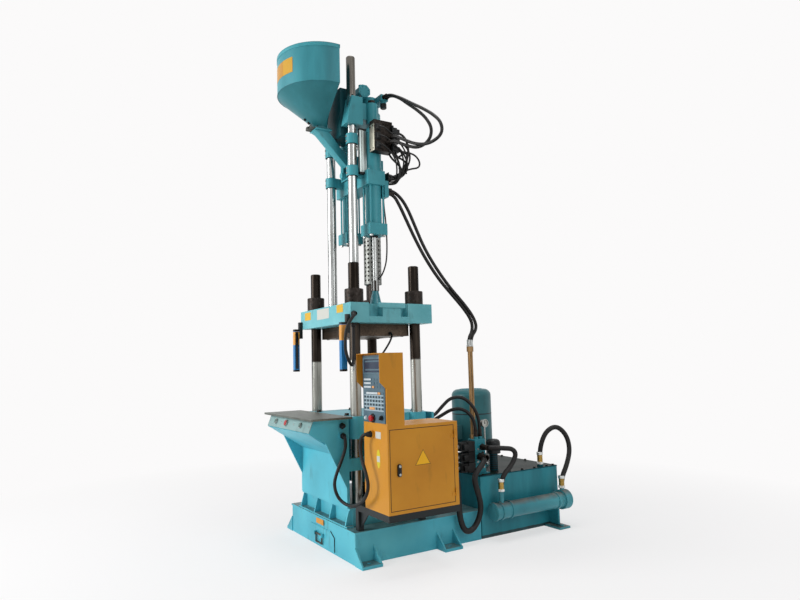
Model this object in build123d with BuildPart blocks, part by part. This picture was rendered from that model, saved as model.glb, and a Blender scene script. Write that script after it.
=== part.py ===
from build123d import *
import math
import os

# Vertical injection moulding machine, millimetres.
# X to the operator's right (cabinet side), Y to the rear (oil tank side), Z up.
# Origin: on the floor, under the middle of the four tie bars.

# Fits and sheet thicknesses
run_fit = 0.05
seat_gap = 0.3
plate_t = 12
sheet_t = 3

# Tie bars and clamp
bar_dia = 80
bar_pitch_x = 670
bar_pitch_y = 510
bar_top_z = 2035
bar_nut_dia = 136
bar_nut_h = 105
bar_end_nut_h = 30
bar_end_nut_dia = 90
bar_end_dia = 60
platen_margin = 110
platen_d = 680
platen_t = 142
platen_z = 1595
nozzle_hole_dia = 150
mould_plate_w = 620
mould_plate_d = 430
mould_plate_t = 88
daylight_z = 950
table_t = 13
ram_dia = 200
clamp_cyl_dia = 300
crosshead_t = 50

# Base, pedestal and the housings on it
base_w = 1100
base_front = -392
base_rear = 660
base_h = 211
base_lip = 6
base_floor_t = 8
foot_w = 105
foot_l = 150
foot_t = 20
foot_hole_dia = 26
anchor_front_y = -316
anchor_rear_y = 330
tank_anchor_y = 1345
pedestal_reach = 3
pedestal_half_d = 330
pedestal_lip = 26
pedestal_z = 334
body_margin = 60
body_front = -365
body_plate_t = 20
knee_z = 470
elbow_y = -520
elbow_z = 780
panel_low_y = -640
panel_low_z = 850
panel_top_y = -606
underside_z = 670
lug_dia = 130
lug_low_z = 790
fixed_platen_t = 110
fixed_platen_gap = 7
fixed_platen_inset_x = 90
fixed_platen_inset_y = 40
guide_z = 578
guide_t = 82
guide_boss_dia = 118

# Electrical cabinet and control tower
cab_left = 627
cab_right = 929
cab_front = -350
cab_rear = 181
cab_z = 383
cab_top = 917
door_margin_y = 16
door_margin_z = 22
door_gap = 2
tower_depth = 126
tower_top = 1371
hood_reach = 47
hood_low_z = 1190
hood_foot_z = 1145

# Hydraulic unit
tank_half_w = 550
tank_front = 662
tank_rear = 1450
tank_top = 454
tank_wall = 6
skid_h = 24
motor_x = 140
motor_y = 920
motor_dia = 322
motor_low_z = 600
motor_seam_z = 880
motor_top_z = 1076
manifold_inset = 125
manifold_y = 735
manifold_w = 90
manifold_d = 100
manifold_low_z = 462
manifold_top_z = 712
cooler_port_z = 655
return_port_z = 585
gauge_dia = 60
gauge_x = 447
gauge_y = 800
gauge_z = 826
cooler_reach = 90
cooler_z = 206
cooler_front = 692
cooler_rear = 1450
cooler_dia = 118

# Injection unit
rod_dia = 70
rod_pitch = 374
rod_y = -173
rod_top_z = 3675
collar_dia = 92
collar_low_z = 2725
collar_high_z = 2975
collar_h = 78
seat_x = 197
seat_y = 0
seat_cyl_dia = 122
seat_bore = 90
seat_rod_dia = 34
seat_cap_z = 2278
seat_cap_h = 86
carriage_z = 2662
carriage_t = 111
inj_y = 90
barrel_dia = 90
barrel_bore = 46
nozzle_tip_z = 1700
guard_dia = 138
guard_low_z = 1928
throat_top_z = 2930
ram_cyl_dia = 132
ram_cyl_top_z = 3109
ram_bore = 90
ram_rod_dia = 45
head_z = 3190
head_t = 130
head_boss_low_z = 3125
head_boss_top_z = 3345
hopper_y = -345
hopper_r = 330
hopper_back_y = -335
hopper_top_z = 3664
hopper_seam_z = 3375
spout_dia = 104
hopper_sheet = 3

# Glands and hose fittings
gland_dia = 46
gland_l = 14
conduit_start_y = -399
conduit_start_z = 823
conduit_end_x = 745
conduit_end_z = 860
fitting_l = 18

half_bar_x = bar_pitch_x / 2
body_half_w = half_bar_x + body_margin
pedestal_half_w = body_half_w + pedestal_reach
platen_w = bar_pitch_x + 2 * platen_margin
manifold_x = tank_half_w - manifold_inset
cooler_x = tank_half_w + cooler_reach
half_bar_y = bar_pitch_y / 2
platen_top = platen_z + platen_t
bar_spots = [(sx * half_bar_x, sy * half_bar_y) for sx in (-1, 1) for sy in (-1, 1)]
rod_spots = [(-rod_pitch / 2, rod_y), (rod_pitch / 2, rod_y)]
seat_spots = [(-seat_x, seat_y), (seat_x, seat_y)]

os.makedirs("parts", exist_ok=True)


def save(piece, label):
    piece.part.label = label
    export_step(piece.part, f"parts/{label}.step")


# Base frame: a welded box on feet, open under the pedestal
cavity_half_w = pedestal_half_w - 16
cavity_half_d = pedestal_half_d - 16
base_mid_y = (base_front + base_rear) / 2
base_d = base_rear - base_front
with BuildPart() as base_frame:
    with BuildSketch():
        with Locations((0, base_mid_y)):
            Rectangle(base_w - 2 * base_lip, base_d - 2 * base_lip)
    extrude(amount=base_h - plate_t)
    with BuildSketch(Plane.XY.offset(base_floor_t)):
        with Locations((0, base_mid_y)):
            Rectangle(base_w - 2 * base_lip - 2 * plate_t, base_d - 2 * base_lip - 2 * plate_t)
    extrude(amount=base_h - plate_t - base_floor_t, mode=Mode.SUBTRACT)
    with BuildSketch(Plane.XY.offset(base_h - plate_t)):
        with Locations((0, base_mid_y)):
            Rectangle(base_w, base_d)
        Rectangle(2 * cavity_half_w, 2 * cavity_half_d, mode=Mode.SUBTRACT)
    extrude(amount=plate_t)
    for side in (-1, 1):
        pad_x = side * (base_w / 2 - base_lip + foot_w / 2)
        for anchor_y in (anchor_front_y, anchor_rear_y):
            with BuildSketch():
                with Locations((pad_x, anchor_y)):
                    Rectangle(foot_w, foot_l)
                    Circle(foot_hole_dia / 2, mode=Mode.SUBTRACT)
            extrude(amount=foot_t)
            for edge in (-1, 1):
                rib_y = anchor_y + edge * (foot_l / 2 - plate_t / 2)
                wall_x = side * (base_w / 2 - base_lip)
                with BuildSketch(Plane.XZ.offset(-rib_y - plate_t / 2)):
                    with BuildLine():
                        Polyline(
                            (wall_x, foot_t),
                            (wall_x + side * (foot_w - 8), foot_t),
                            (wall_x, foot_t + 95),
                            close=True,
                        )
                    make_face()
                extrude(amount=plate_t)
save(base_frame, "base_frame")

# Front access cover of the base, with a chamfered upper corner and two pivot lugs
cover_t = 5
cover_face_y = base_front + base_lip - cover_t
cover_half_w = 230
cover_low_z = 14
cover_top_z = 142
handle_z = 92
handle_drop = 62
handle_half_w = 50
handle_wire = 12
handle_bar = 9
lug_wall = 10
with BuildPart() as access_cover:
    with BuildSketch(Plane.XZ.offset(-cover_face_y - cover_t)):
        with BuildLine():
            Polyline(
                (-cover_half_w, cover_low_z),
                (cover_half_w, cover_low_z),
                (cover_half_w, cover_top_z - 34),
                (cover_half_w - 60, cover_top_z),
                (-cover_half_w + 60, cover_top_z),
                (-cover_half_w, cover_top_z - 34),
                close=True,
            )
        make_face()
    extrude(amount=cover_t)
    for side in (-1, 1):
        lug_x = side * (handle_half_w + handle_wire / 2 + lug_wall / 2 + seat_gap)
        with BuildSketch(Plane.XZ.offset(-cover_face_y)):
            with Locations((lug_x, handle_z)):
                Rectangle(lug_wall, 26)
        extrude(amount=22)
save(access_cover, "access_cover")

# Drop handle that hangs from the cover's lugs
handle_y = cover_face_y - 11
with BuildPart() as access_handle:
    with BuildSketch(Plane.YZ.offset(-handle_half_w - handle_wire / 2)):
        with Locations((handle_y, handle_z)):
            Circle(handle_wire / 2)
    extrude(amount=2 * handle_half_w + handle_wire)
    with BuildSketch(Plane.XZ.offset(-handle_y - handle_bar / 2)):
        with BuildLine():
            Polyline(
                (-handle_half_w - handle_bar / 2, handle_z),
                (-handle_half_w - handle_bar / 2, handle_z - handle_drop),
                (handle_half_w + handle_bar / 2, handle_z - handle_drop),
                (handle_half_w + handle_bar / 2, handle_z),
                (handle_half_w - handle_bar / 2, handle_z),
                (handle_half_w - handle_bar / 2, handle_z - handle_drop + handle_bar),
                (-handle_half_w + handle_bar / 2, handle_z - handle_drop + handle_bar),
                (-handle_half_w + handle_bar / 2, handle_z),
                close=True,
            )
        make_face()
    extrude(amount=handle_bar)
save(access_handle, "access_handle")

# Pedestal: ribbed hollow block between the base and the housings
pedestal_wall = 14
rib_spots = [-384, -128, 128, 384]
ram_hole_dia = ram_dia + 20
with BuildPart() as pedestal:
    with BuildSketch(Plane.XY.offset(base_h)):
        Rectangle(2 * pedestal_half_w, 2 * pedestal_half_d)
        Rectangle(2 * cavity_half_w, 2 * cavity_half_d, mode=Mode.SUBTRACT)
    extrude(amount=pedestal_z - base_h)
    with BuildSketch(Plane.XY.offset(pedestal_z - pedestal_wall)):
        Rectangle(2 * pedestal_half_w + 2 * 10, 2 * (pedestal_half_d + pedestal_lip))
        Circle(ram_hole_dia / 2, mode=Mode.SUBTRACT)
        with Locations(*bar_spots):
            Circle(bar_dia / 2 + 6, mode=Mode.SUBTRACT)
    extrude(amount=pedestal_wall)
    for side in (-1, 1):
        with BuildSketch(Plane.XY.offset(base_h)):
            with Locations((0, side * (pedestal_half_d + 27))):
                Rectangle(2 * pedestal_half_w + 40, 54)
        extrude(amount=10)
        for rib_x in rib_spots:
            with BuildSketch(Plane.YZ.offset(rib_x - plate_t / 2)):
                with BuildLine():
                    Polyline(
                        (side * pedestal_half_d, base_h + 10),
                        (side * (pedestal_half_d + 50), base_h + 10),
                        (side * (pedestal_half_d + 22), pedestal_z - pedestal_wall),
                        (side * pedestal_half_d, pedestal_z - pedestal_wall),
                        close=True,
                    )
                make_face()
            extrude(amount=plate_t)
save(pedestal, "pedestal")

# Front housing: upright plate, two gusset cheeks, sloped underside, tie-bar guides
table_low_z = daylight_z - table_t
cheek_t = 15
guide_reach = -body_front - body_plate_t - half_bar_y


with BuildPart() as front_housing:
    with BuildSketch(Plane.XY.offset(pedestal_z)):
        with Locations((0, body_front + body_plate_t / 2)):
            Rectangle(2 * body_half_w, body_plate_t)
    extrude(amount=table_low_z - pedestal_z)
    for side in (-1, 1):
        with BuildSketch(Plane.YZ.offset(side * (body_half_w - cheek_t / 2) - cheek_t / 2)):
            with BuildLine():
                Polyline(
                    (body_front, knee_z),
                    (elbow_y, elbow_z),
                    (panel_low_y, panel_low_z),
                    (panel_top_y, table_low_z),
                    (body_front, table_low_z),
                    close=True,
                )
            make_face()
        extrude(amount=cheek_t)
    with BuildSketch(Plane.YZ.offset(-body_half_w + cheek_t)):
        with BuildLine():
            Polyline(
                (body_front, underside_z),
                (panel_low_y, panel_low_z),
                (panel_low_y + 10, panel_low_z + 8),
                (body_front, underside_z + 14),
                close=True,
            )
        make_face()
    extrude(amount=2 * body_half_w - 2 * cheek_t)
    for bar_side in (-1, 1):
        spot_x = bar_side * half_bar_x
        with BuildSketch(Plane.XY.offset(guide_z)):
            with Locations((spot_x, -half_bar_y)):
                Circle(guide_boss_dia / 2)
            with Locations((spot_x, -(half_bar_y + guide_reach / 2))):
                Rectangle(guide_boss_dia, guide_reach)
            with Locations((spot_x, -half_bar_y)):
                Circle(bar_dia / 2 + run_fit, mode=Mode.SUBTRACT)
        extrude(amount=guide_t)
    with BuildSketch(Plane.YZ.offset(body_half_w)):
        with Locations((conduit_start_y, conduit_start_z)):
            Circle(gland_dia / 2)
    extrude(amount=gland_l)
save(front_housing, "front_housing")

# Button panel: sloped apron under the table's front edge
panel_t = 5
panel_run = panel_top_y - panel_low_y
panel_rise = table_low_z - panel_low_z
panel_len = math.hypot(panel_run, panel_rise)
panel_origin = (0, (panel_low_y + panel_top_y) / 2, (panel_low_z + table_low_z) / 2)
panel_out = (0, -panel_rise / panel_len, panel_run / panel_len)
panel_plane = Plane(origin=panel_origin, x_dir=(1, 0, 0), z_dir=panel_out)
button_hole_dia = 22
button_spots = {"start_button_left": -240, "stop_button": -35, "start_button_right": 230}
with BuildPart() as button_panel:
    with BuildSketch(panel_plane):
        Rectangle(2 * body_half_w, panel_len - 8)
        with Locations(*[(spot, 0) for spot in button_spots.values()]):
            Circle(button_hole_dia / 2, mode=Mode.SUBTRACT)
    extrude(amount=panel_t)
save(button_panel, "button_panel")

# Push buttons: a head on a stem that slides in the panel's hole
button_travel = 4
for button_name, spot in button_spots.items():
    head_dia = 38 if button_name == "stop_button" else 28
    with BuildPart() as push_button:
        with BuildSketch(panel_plane.offset(-14)):
            with Locations((spot, 0)):
                Circle(button_hole_dia / 2 - run_fit)
        extrude(amount=14 + panel_t + button_travel + 1)
        with BuildSketch(panel_plane.offset(panel_t + button_travel + 1)):
            with Locations((spot, 0)):
                Circle(head_dia / 2)
        extrude(amount=10)
        top_rim = push_button.faces().sort_by(Axis((0, 0, 0), panel_out))[-1]
        fillet(top_rim.edges(), 2.5)
    save(push_button, button_name)

# Rear housing: upright plate with the rear tie-bar guides
with BuildPart() as rear_housing:
    with BuildSketch(Plane.XY.offset(pedestal_z)):
        with Locations((0, -body_front - body_plate_t / 2)):
            Rectangle(2 * body_half_w, body_plate_t)
    extrude(amount=table_low_z - pedestal_z)
    for bar_side in (-1, 1):
        spot_x = bar_side * half_bar_x
        with BuildSketch(Plane.XY.offset(guide_z)):
            with Locations((spot_x, half_bar_y)):
                Circle(guide_boss_dia / 2)
            with Locations((spot_x, (half_bar_y + guide_reach / 2))):
                Rectangle(guide_boss_dia, guide_reach)
            with Locations((spot_x, half_bar_y)):
                Circle(bar_dia / 2 + run_fit, mode=Mode.SUBTRACT)
        extrude(amount=guide_t)
save(rear_housing, "rear_housing")

# Fixed platen between the housings, with a long guide sleeve round each tie bar
fixed_top_z = daylight_z - fixed_platen_gap
with BuildPart() as fixed_platen:
    with BuildSketch(Plane.XY.offset(fixed_top_z - fixed_platen_t)):
        Rectangle(bar_pitch_x - fixed_platen_inset_x, 2 * (-body_front - body_plate_t))
        Rectangle(bar_pitch_x, bar_pitch_y - fixed_platen_inset_y)
    extrude(amount=fixed_platen_t)
    with BuildSketch(Plane.XY.offset(lug_low_z)):
        with Locations(*bar_spots):
            Circle(lug_dia / 2)
    extrude(amount=fixed_top_z - lug_low_z)
    with BuildSketch(Plane.XY.offset(lug_low_z)):
        with Locations(*bar_spots):
            Circle(bar_dia / 2 + run_fit)
    extrude(amount=fixed_top_z - lug_low_z, mode=Mode.SUBTRACT)
save(fixed_platen, "fixed_platen")

# Clamp cylinder under the fixed platen, flanged at the top
clamp_cyl_top = fixed_top_z - fixed_platen_t
clamp_cyl_low = 440
with BuildPart() as clamp_cylinder:
    with BuildSketch(Plane.XY.offset(clamp_cyl_low)):
        Circle(clamp_cyl_dia / 2)
    extrude(amount=clamp_cyl_top - clamp_cyl_low)
    with BuildSketch(Plane.XY.offset(clamp_cyl_top - 45)):
        Circle(clamp_cyl_dia / 2 + 45)
    extrude(amount=45)
    with BuildSketch(Plane.XY.offset(clamp_cyl_low)):
        Circle(ram_dia / 2 + run_fit)
    extrude(amount=clamp_cyl_top - clamp_cyl_low - 30, mode=Mode.SUBTRACT)
save(clamp_cylinder, "clamp_cylinder")

# Work table in front of the fixed platen
table_reach = 61
table_half_w = body_half_w + table_reach
table_front = -650
table_rear = body_front + body_plate_t
with BuildPart() as table_plate:
    with BuildSketch(Plane.XY.offset(table_low_z)):
        with Locations((0, (table_front + table_rear) / 2)):
            Rectangle(2 * table_half_w, table_rear - table_front)
        with Locations(*bar_spots):
            Circle(lug_dia / 2 + 1, mode=Mode.SUBTRACT)
    extrude(amount=table_t)
    fillet(table_plate.edges().filter_by(Axis.Z).group_by(Axis.Y)[0], 12)
save(table_plate, "table_plate")


# Cabinet frame: dark legs and rails that carry the electrical cabinet beside the base
rail_h = 42
rail_w = 40
leg_x = 505
rail_low_z = cab_z - rail_h
with BuildPart() as cabinet_frame:
    for rail_y in (cab_front + rail_w / 2, cab_rear - rail_w / 2):
        with BuildSketch(Plane.XY.offset(rail_low_z)):
            with Locations(((leg_x - rail_w / 2 + cab_right) / 2, rail_y)):
                Rectangle(cab_right - leg_x + rail_w / 2, rail_w)
        extrude(amount=rail_h)
        with BuildSketch(Plane.XY.offset(base_h)):
            with Locations((leg_x, rail_y)):
                Rectangle(rail_w, rail_w)
        extrude(amount=rail_low_z - base_h)
        with BuildSketch(Plane.XZ.offset(-rail_y - 4)):
            with BuildLine():
                Polyline(
                    (leg_x + rail_w / 2, rail_low_z),
                    (leg_x + rail_w / 2 + 110, rail_low_z),
                    (leg_x + rail_w / 2, base_h + 15),
                    close=True,
                )
            make_face()
        extrude(amount=8)
    for rail_x in (leg_x, cab_right - rail_w / 2):
        with BuildSketch(Plane.XY.offset(rail_low_z)):
            with Locations((rail_x, (cab_front + cab_rear) / 2)):
                Rectangle(rail_w, cab_rear - cab_front)
        extrude(amount=rail_h)
save(cabinet_frame, "cabinet_frame")

# Cabinet shell: folded sheet box, open on the right inside a frame round the door,
# with the fixed knuckles of the door hinges and the conduit's gland
cab_mid_x = (cab_left + cab_right) / 2
cab_mid_y = (cab_front + cab_rear) / 2
cab_w = cab_right - cab_left
cab_d = cab_rear - cab_front
door_front = cab_front + door_margin_y
door_rear = cab_rear - 2 * door_margin_y
door_low = cab_z + door_margin_z
door_top = cab_top - door_margin_z
door_mid_y = (door_front + door_rear) / 2
door_mid_z = (door_low + door_top) / 2
hinge_x = cab_right + 7
hinge_y = door_rear + 5
hinge_dia = 12
hinge_h = 46
hinge_web = 5
hinge_leaf = 22
hinge_zs = [door_low + 60, door_top - 60]
with BuildPart() as cabinet_shell:
    with BuildSketch(Plane.XY.offset(cab_z)):
        with Locations((cab_mid_x, cab_mid_y)):
            Rectangle(cab_w, cab_d)
    extrude(amount=cab_top - cab_z)
    with BuildSketch(Plane.XY.offset(cab_z + sheet_t)):
        with Locations((cab_mid_x, cab_mid_y)):
            Rectangle(cab_w - 2 * sheet_t, cab_d - 2 * sheet_t)
    extrude(amount=cab_top - cab_z - 2 * sheet_t, mode=Mode.SUBTRACT)
    with BuildSketch(Plane.YZ.offset(cab_right - sheet_t)):
        with Locations((door_mid_y, door_mid_z)):
            Rectangle(door_rear - door_front, door_top - door_low)
    extrude(amount=sheet_t, mode=Mode.SUBTRACT)
    for hinge_z in hinge_zs:
        with BuildSketch(Plane.XY.offset(hinge_z)):
            with Locations((hinge_x, hinge_y)):
                Circle(hinge_dia / 2)
            with Locations((cab_right + sheet_t / 2, hinge_y + hinge_leaf / 2)):
                Rectangle(sheet_t, hinge_leaf)
            with Locations(((cab_right + hinge_x) / 2, hinge_y + hinge_web / 2)):
                Rectangle(hinge_x - cab_right, hinge_web)
        extrude(amount=hinge_h / 2)
    with BuildSketch(Plane.XZ.offset(-cab_front)):
        with Locations((conduit_end_x, conduit_end_z)):
            Circle(gland_dia / 2)
    extrude(amount=gland_l)
save(cabinet_shell, "cabinet_shell")

# Cabinet door: a sheet pan with folded edges, hinge leaves at the rear
pan_depth = 16
with BuildPart() as cabinet_door:
    with BuildSketch(Plane.YZ.offset(cab_right - sheet_t)):
        with Locations((door_mid_y, door_mid_z)):
            Rectangle(door_rear - door_front - 2 * door_gap, door_top - door_low - 2 * door_gap)
    extrude(amount=sheet_t)
    with BuildSketch(Plane.YZ.offset(cab_right - pan_depth)):
        with Locations((door_mid_y, door_mid_z)):
            Rectangle(door_rear - door_front - 2 * pan_depth, door_top - door_low - 2 * pan_depth)
            Rectangle(
                door_rear - door_front - 2 * pan_depth - 2 * sheet_t,
                door_top - door_low - 2 * pan_depth - 2 * sheet_t,
                mode=Mode.SUBTRACT,
            )
    extrude(amount=pan_depth - sheet_t)
    for hinge_z in hinge_zs:
        with BuildSketch(Plane.XY.offset(hinge_z - hinge_h / 2)):
            with Locations((hinge_x, hinge_y)):
                Circle(hinge_dia / 2)
            with Locations((cab_right + sheet_t / 2, (hinge_y + door_rear - hinge_leaf) / 2)):
                Rectangle(sheet_t, hinge_y - door_rear + hinge_leaf)
            with Locations(((cab_right + hinge_x) / 2, hinge_y - hinge_web / 2)):
                Rectangle(hinge_x - cab_right, hinge_web)
        extrude(amount=hinge_h / 2 - seat_gap)
save(cabinet_door, "cabinet_door")

# Door lock: swinging handle on a round boss through the door
lock_y = -273
lock_z = 647
lock_l = 78
lock_w = 26
lock_cap_dia = 17
with BuildPart() as door_lock:
    with BuildSketch(Plane.YZ.offset(cab_right + seat_gap)):
        with Locations((lock_y, lock_z)):
            SlotOverall(lock_l, lock_w, rotation=90)
    extrude(amount=14)
    fillet(door_lock.faces().sort_by(Axis.X)[-1].edges(), 3)
    with BuildSketch(Plane.YZ.offset(cab_right + seat_gap + 14)):
        with Locations((lock_y, lock_z)):
            Circle(lock_cap_dia / 2)
    extrude(amount=4)
save(door_lock, "door_lock")

# Switchgear on its mounting plate inside the cabinet
gear_plate_x = cab_left + sheet_t + 12
gear_plate_t = 3
gear_boxes = [
    (-215, 800, 70, 90, 95),
    (-115, 800, 70, 90, 95),
    (-15, 800, 70, 90, 95),
    (85, 800, 70, 90, 80),
    (-180, 640, 150, 110, 120),
    (20, 640, 180, 110, 90),
    (-85, 480, 360, 70, 60),
]
with BuildPart() as switchgear:
    with BuildSketch(Plane.YZ.offset(gear_plate_x)):
        with Locations((cab_mid_y, (cab_z + cab_top) / 2)):
            Rectangle(cab_d - 60, cab_top - cab_z - 60)
    extrude(amount=gear_plate_t)
    for gear_y, gear_z, gear_w, gear_h, gear_depth in gear_boxes:
        with BuildSketch(Plane.YZ.offset(gear_plate_x + gear_plate_t)):
            with Locations((gear_y, gear_z)):
                Rectangle(gear_w, gear_h)
        extrude(amount=gear_depth)
    for stud_y in (cab_front + 45, cab_rear - 45):
        for stud_z in (cab_z + 50, cab_top - 50):
            with BuildSketch(Plane.YZ.offset(cab_left + sheet_t)):
                with Locations((stud_y, stud_z)):
                    Circle(5)
            extrude(amount=12)
save(switchgear, "switchgear")

# Control tower on the cabinet, with hood cheeks beside the upper half of its face
# and bores for the two controls
stop_x = 764
stop_z = 961
selector_x = 879
selector_z = 968
panel_bore = 22
hood_front = cab_front - hood_reach
with BuildPart() as tower_housing:
    with BuildSketch(Plane.XY.offset(cab_top)):
        with Locations((cab_mid_x, cab_front + tower_depth / 2)):
            Rectangle(cab_w, tower_depth)
            Rectangle(cab_w - 2 * sheet_t, tower_depth - 2 * sheet_t, mode=Mode.SUBTRACT)
    extrude(amount=tower_top - cab_top)
    for slab_z in (cab_top, tower_top - sheet_t):
        with BuildSketch(Plane.XY.offset(slab_z)):
            with Locations((cab_mid_x, cab_front + tower_depth / 2)):
                Rectangle(cab_w, tower_depth)
        extrude(amount=sheet_t)
    with BuildSketch(Plane.XZ.offset(-cab_front - sheet_t)):
        with Locations((stop_x, stop_z), (selector_x, selector_z)):
            Circle(panel_bore / 2)
    extrude(amount=sheet_t, mode=Mode.SUBTRACT)
    for cheek_x in (cab_left, cab_right - sheet_t):
        with BuildSketch(Plane.YZ.offset(cheek_x)):
            with BuildLine():
                Polyline(
                    (cab_front, hood_foot_z),
                    (hood_front, hood_low_z),
                    (hood_front, tower_top),
                    (cab_front, tower_top),
                    close=True,
                )
            make_face()
        extrude(amount=sheet_t)
    with BuildSketch(Plane.XY.offset(tower_top - sheet_t)):
        with Locations((cab_mid_x, (hood_front + cab_front) / 2)):
            Rectangle(cab_w, hood_reach)
    extrude(amount=sheet_t)
save(tower_housing, "tower_housing")

# Control face: plate with the screen bezel, key rows and bores for the two controls
face_t = 6
face_left = cab_left + 10
face_right = cab_right - 12
face_low = 934
face_top = tower_top - 12
face_w = face_right - face_left
face_mid_x = (face_left + face_right) / 2
face_front = cab_front - face_t
key_w = 26
key_h = 15
key_rows = [1205, 1181, 1157, 1118, 1094, 1070, 1046, 1022]
key_count = 7
screen_low = 1238
screen_top = 1346
with BuildPart() as control_face:
    with BuildSketch(Plane.XZ.offset(-cab_front)):
        with Locations((face_mid_x, (face_low + face_top) / 2)):
            Rectangle(face_w, face_top - face_low)
        with Locations((stop_x, stop_z), (selector_x, selector_z)):
            Circle(panel_bore / 2, mode=Mode.SUBTRACT)
    extrude(amount=face_t)
    for row_z in key_rows:
        with BuildSketch(Plane.XZ.offset(-face_front)):
            with Locations((face_mid_x, row_z)):
                with GridLocations((face_w - 40) / (key_count - 1) * 0.93, 1, key_count, 1):
                    Rectangle(key_w, key_h)
        extrude(amount=2)
    with BuildSketch(Plane.XZ.offset(-face_front)):
        with Locations((face_mid_x, (screen_low + screen_top) / 2)):
            Rectangle(face_w - 16, screen_top - screen_low)
            Rectangle(face_w - 44, screen_top - screen_low - 24, mode=Mode.SUBTRACT)
    extrude(amount=4)
save(control_face, "control_face")

# Emergency stop and mode selector on the control face
with BuildPart() as emergency_stop:
    with BuildSketch(Plane.XZ.offset(-face_front + 12)):
        with Locations((stop_x, stop_z)):
            Circle(20)
    extrude(amount=14)
    fillet(emergency_stop.faces().sort_by(Axis.Y)[0].edges(), 5)
    with BuildSketch(Plane.XZ.offset(-cab_front + 1)):
        with Locations((stop_x, stop_z)):
            Circle(panel_bore / 2 - run_fit)
    extrude(amount=face_t + 11)
save(emergency_stop, "emergency_stop")

with BuildPart() as mode_selector:
    with BuildSketch(Plane.XZ.offset(-face_front + seat_gap)):
        with Locations((selector_x, selector_z)):
            Circle(15)
    extrude(amount=9)
    with BuildSketch(Plane.XZ.offset(-face_front + seat_gap + 9)):
        with Locations((selector_x, selector_z)):
            SlotOverall(27, 9, rotation=60)
    extrude(amount=11)
    with BuildSketch(Plane.XZ.offset(-cab_front + 1)):
        with Locations((selector_x, selector_z)):
            Circle(panel_bore / 2 - run_fit)
    extrude(amount=face_t)
save(mode_selector, "mode_selector")

# Oil tank on its skids, with the outer foot
tank_d = tank_rear - tank_front
tank_mid_y = (tank_front + tank_rear) / 2
lid_t = 8
tank_wall_top = tank_top - lid_t
tank_foot_right = 160
tank_foot_left = 90
tank_foot_t = 16
saddle_t = 16
with BuildPart() as oil_tank:
    with BuildSketch(Plane.XY.offset(skid_h)):
        with Locations((0, tank_mid_y)):
            Rectangle(2 * tank_half_w - 8, tank_d)
    extrude(amount=tank_wall_top - skid_h)
    with BuildSketch(Plane.XY.offset(skid_h + tank_wall)):
        with Locations((0, tank_mid_y)):
            Rectangle(2 * tank_half_w - 8 - 2 * tank_wall, tank_d - 2 * tank_wall)
    extrude(amount=tank_wall_top - skid_h - tank_wall, mode=Mode.SUBTRACT)
    for side in (-1, 1):
        with BuildSketch():
            with Locations((side * (tank_half_w - 44), tank_mid_y)):
                Rectangle(70, tank_d)
        extrude(amount=skid_h)
        foot_out = tank_half_w + (tank_foot_right if side > 0 else tank_foot_left)
        foot_in = tank_half_w - 8
        with BuildSketch():
            with Locations((side * (foot_in + foot_out) / 2, tank_anchor_y)):
                Rectangle(foot_out - foot_in, 110)
            with Locations((side * (foot_out - 34), tank_anchor_y)):
                Circle(foot_hole_dia / 2, mode=Mode.SUBTRACT)
        extrude(amount=tank_foot_t)
        saddle_top = cooler_z - cooler_dia / 2 - seat_gap if side > 0 else 110
        with BuildSketch(Plane.XZ.offset(-tank_anchor_y - saddle_t / 2)):
            with BuildLine():
                Polyline(
                    (side * (tank_half_w - 4), tank_foot_t),
                    (side * (foot_out - 60), tank_foot_t),
                    (side * (foot_out - 60), 44),
                    (side * (tank_half_w + 100 if side > 0 else tank_half_w + 10), saddle_top),
                    (side * (tank_half_w - 4), saddle_top),
                    close=True,
                )
            make_face()
        extrude(amount=saddle_t)
save(oil_tank, "oil_tank")

# Tank lid with the filler breather
breather_inset = 150
breather_x = tank_half_w - breather_inset
breather_y = 918
breather_neck_dia = 64
breather_neck_h = 130
breather_dia = 110
breather_h = 105
loop_inset = 35
loop_x = tank_half_w - loop_inset
loop_y = 1300
with BuildPart() as tank_lid:
    with BuildSketch(Plane.XY.offset(tank_wall_top)):
        with Locations((0, tank_mid_y)):
            Rectangle(2 * tank_half_w, tank_d)
        with Locations((motor_x, motor_y)):
            Circle(105, mode=Mode.SUBTRACT)
    extrude(amount=lid_t)
    with BuildSketch(Plane.XY.offset(tank_top)):
        with Locations((breather_x, breather_y)):
            Circle(breather_neck_dia / 2)
    extrude(amount=breather_neck_h)
    with BuildSketch(Plane.XY.offset(tank_top + breather_neck_h)):
        with Locations((breather_x, breather_y)):
            Circle(breather_dia / 2)
    extrude(amount=breather_h)
    fillet(tank_lid.faces().sort_by(Axis.Z)[-1].edges(), 26)
    with BuildSketch(Plane.XY.offset(tank_top)):
        with Locations((loop_x, loop_y)):
            Circle(24)
    extrude(amount=fitting_l)
save(tank_lid, "tank_lid")

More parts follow.
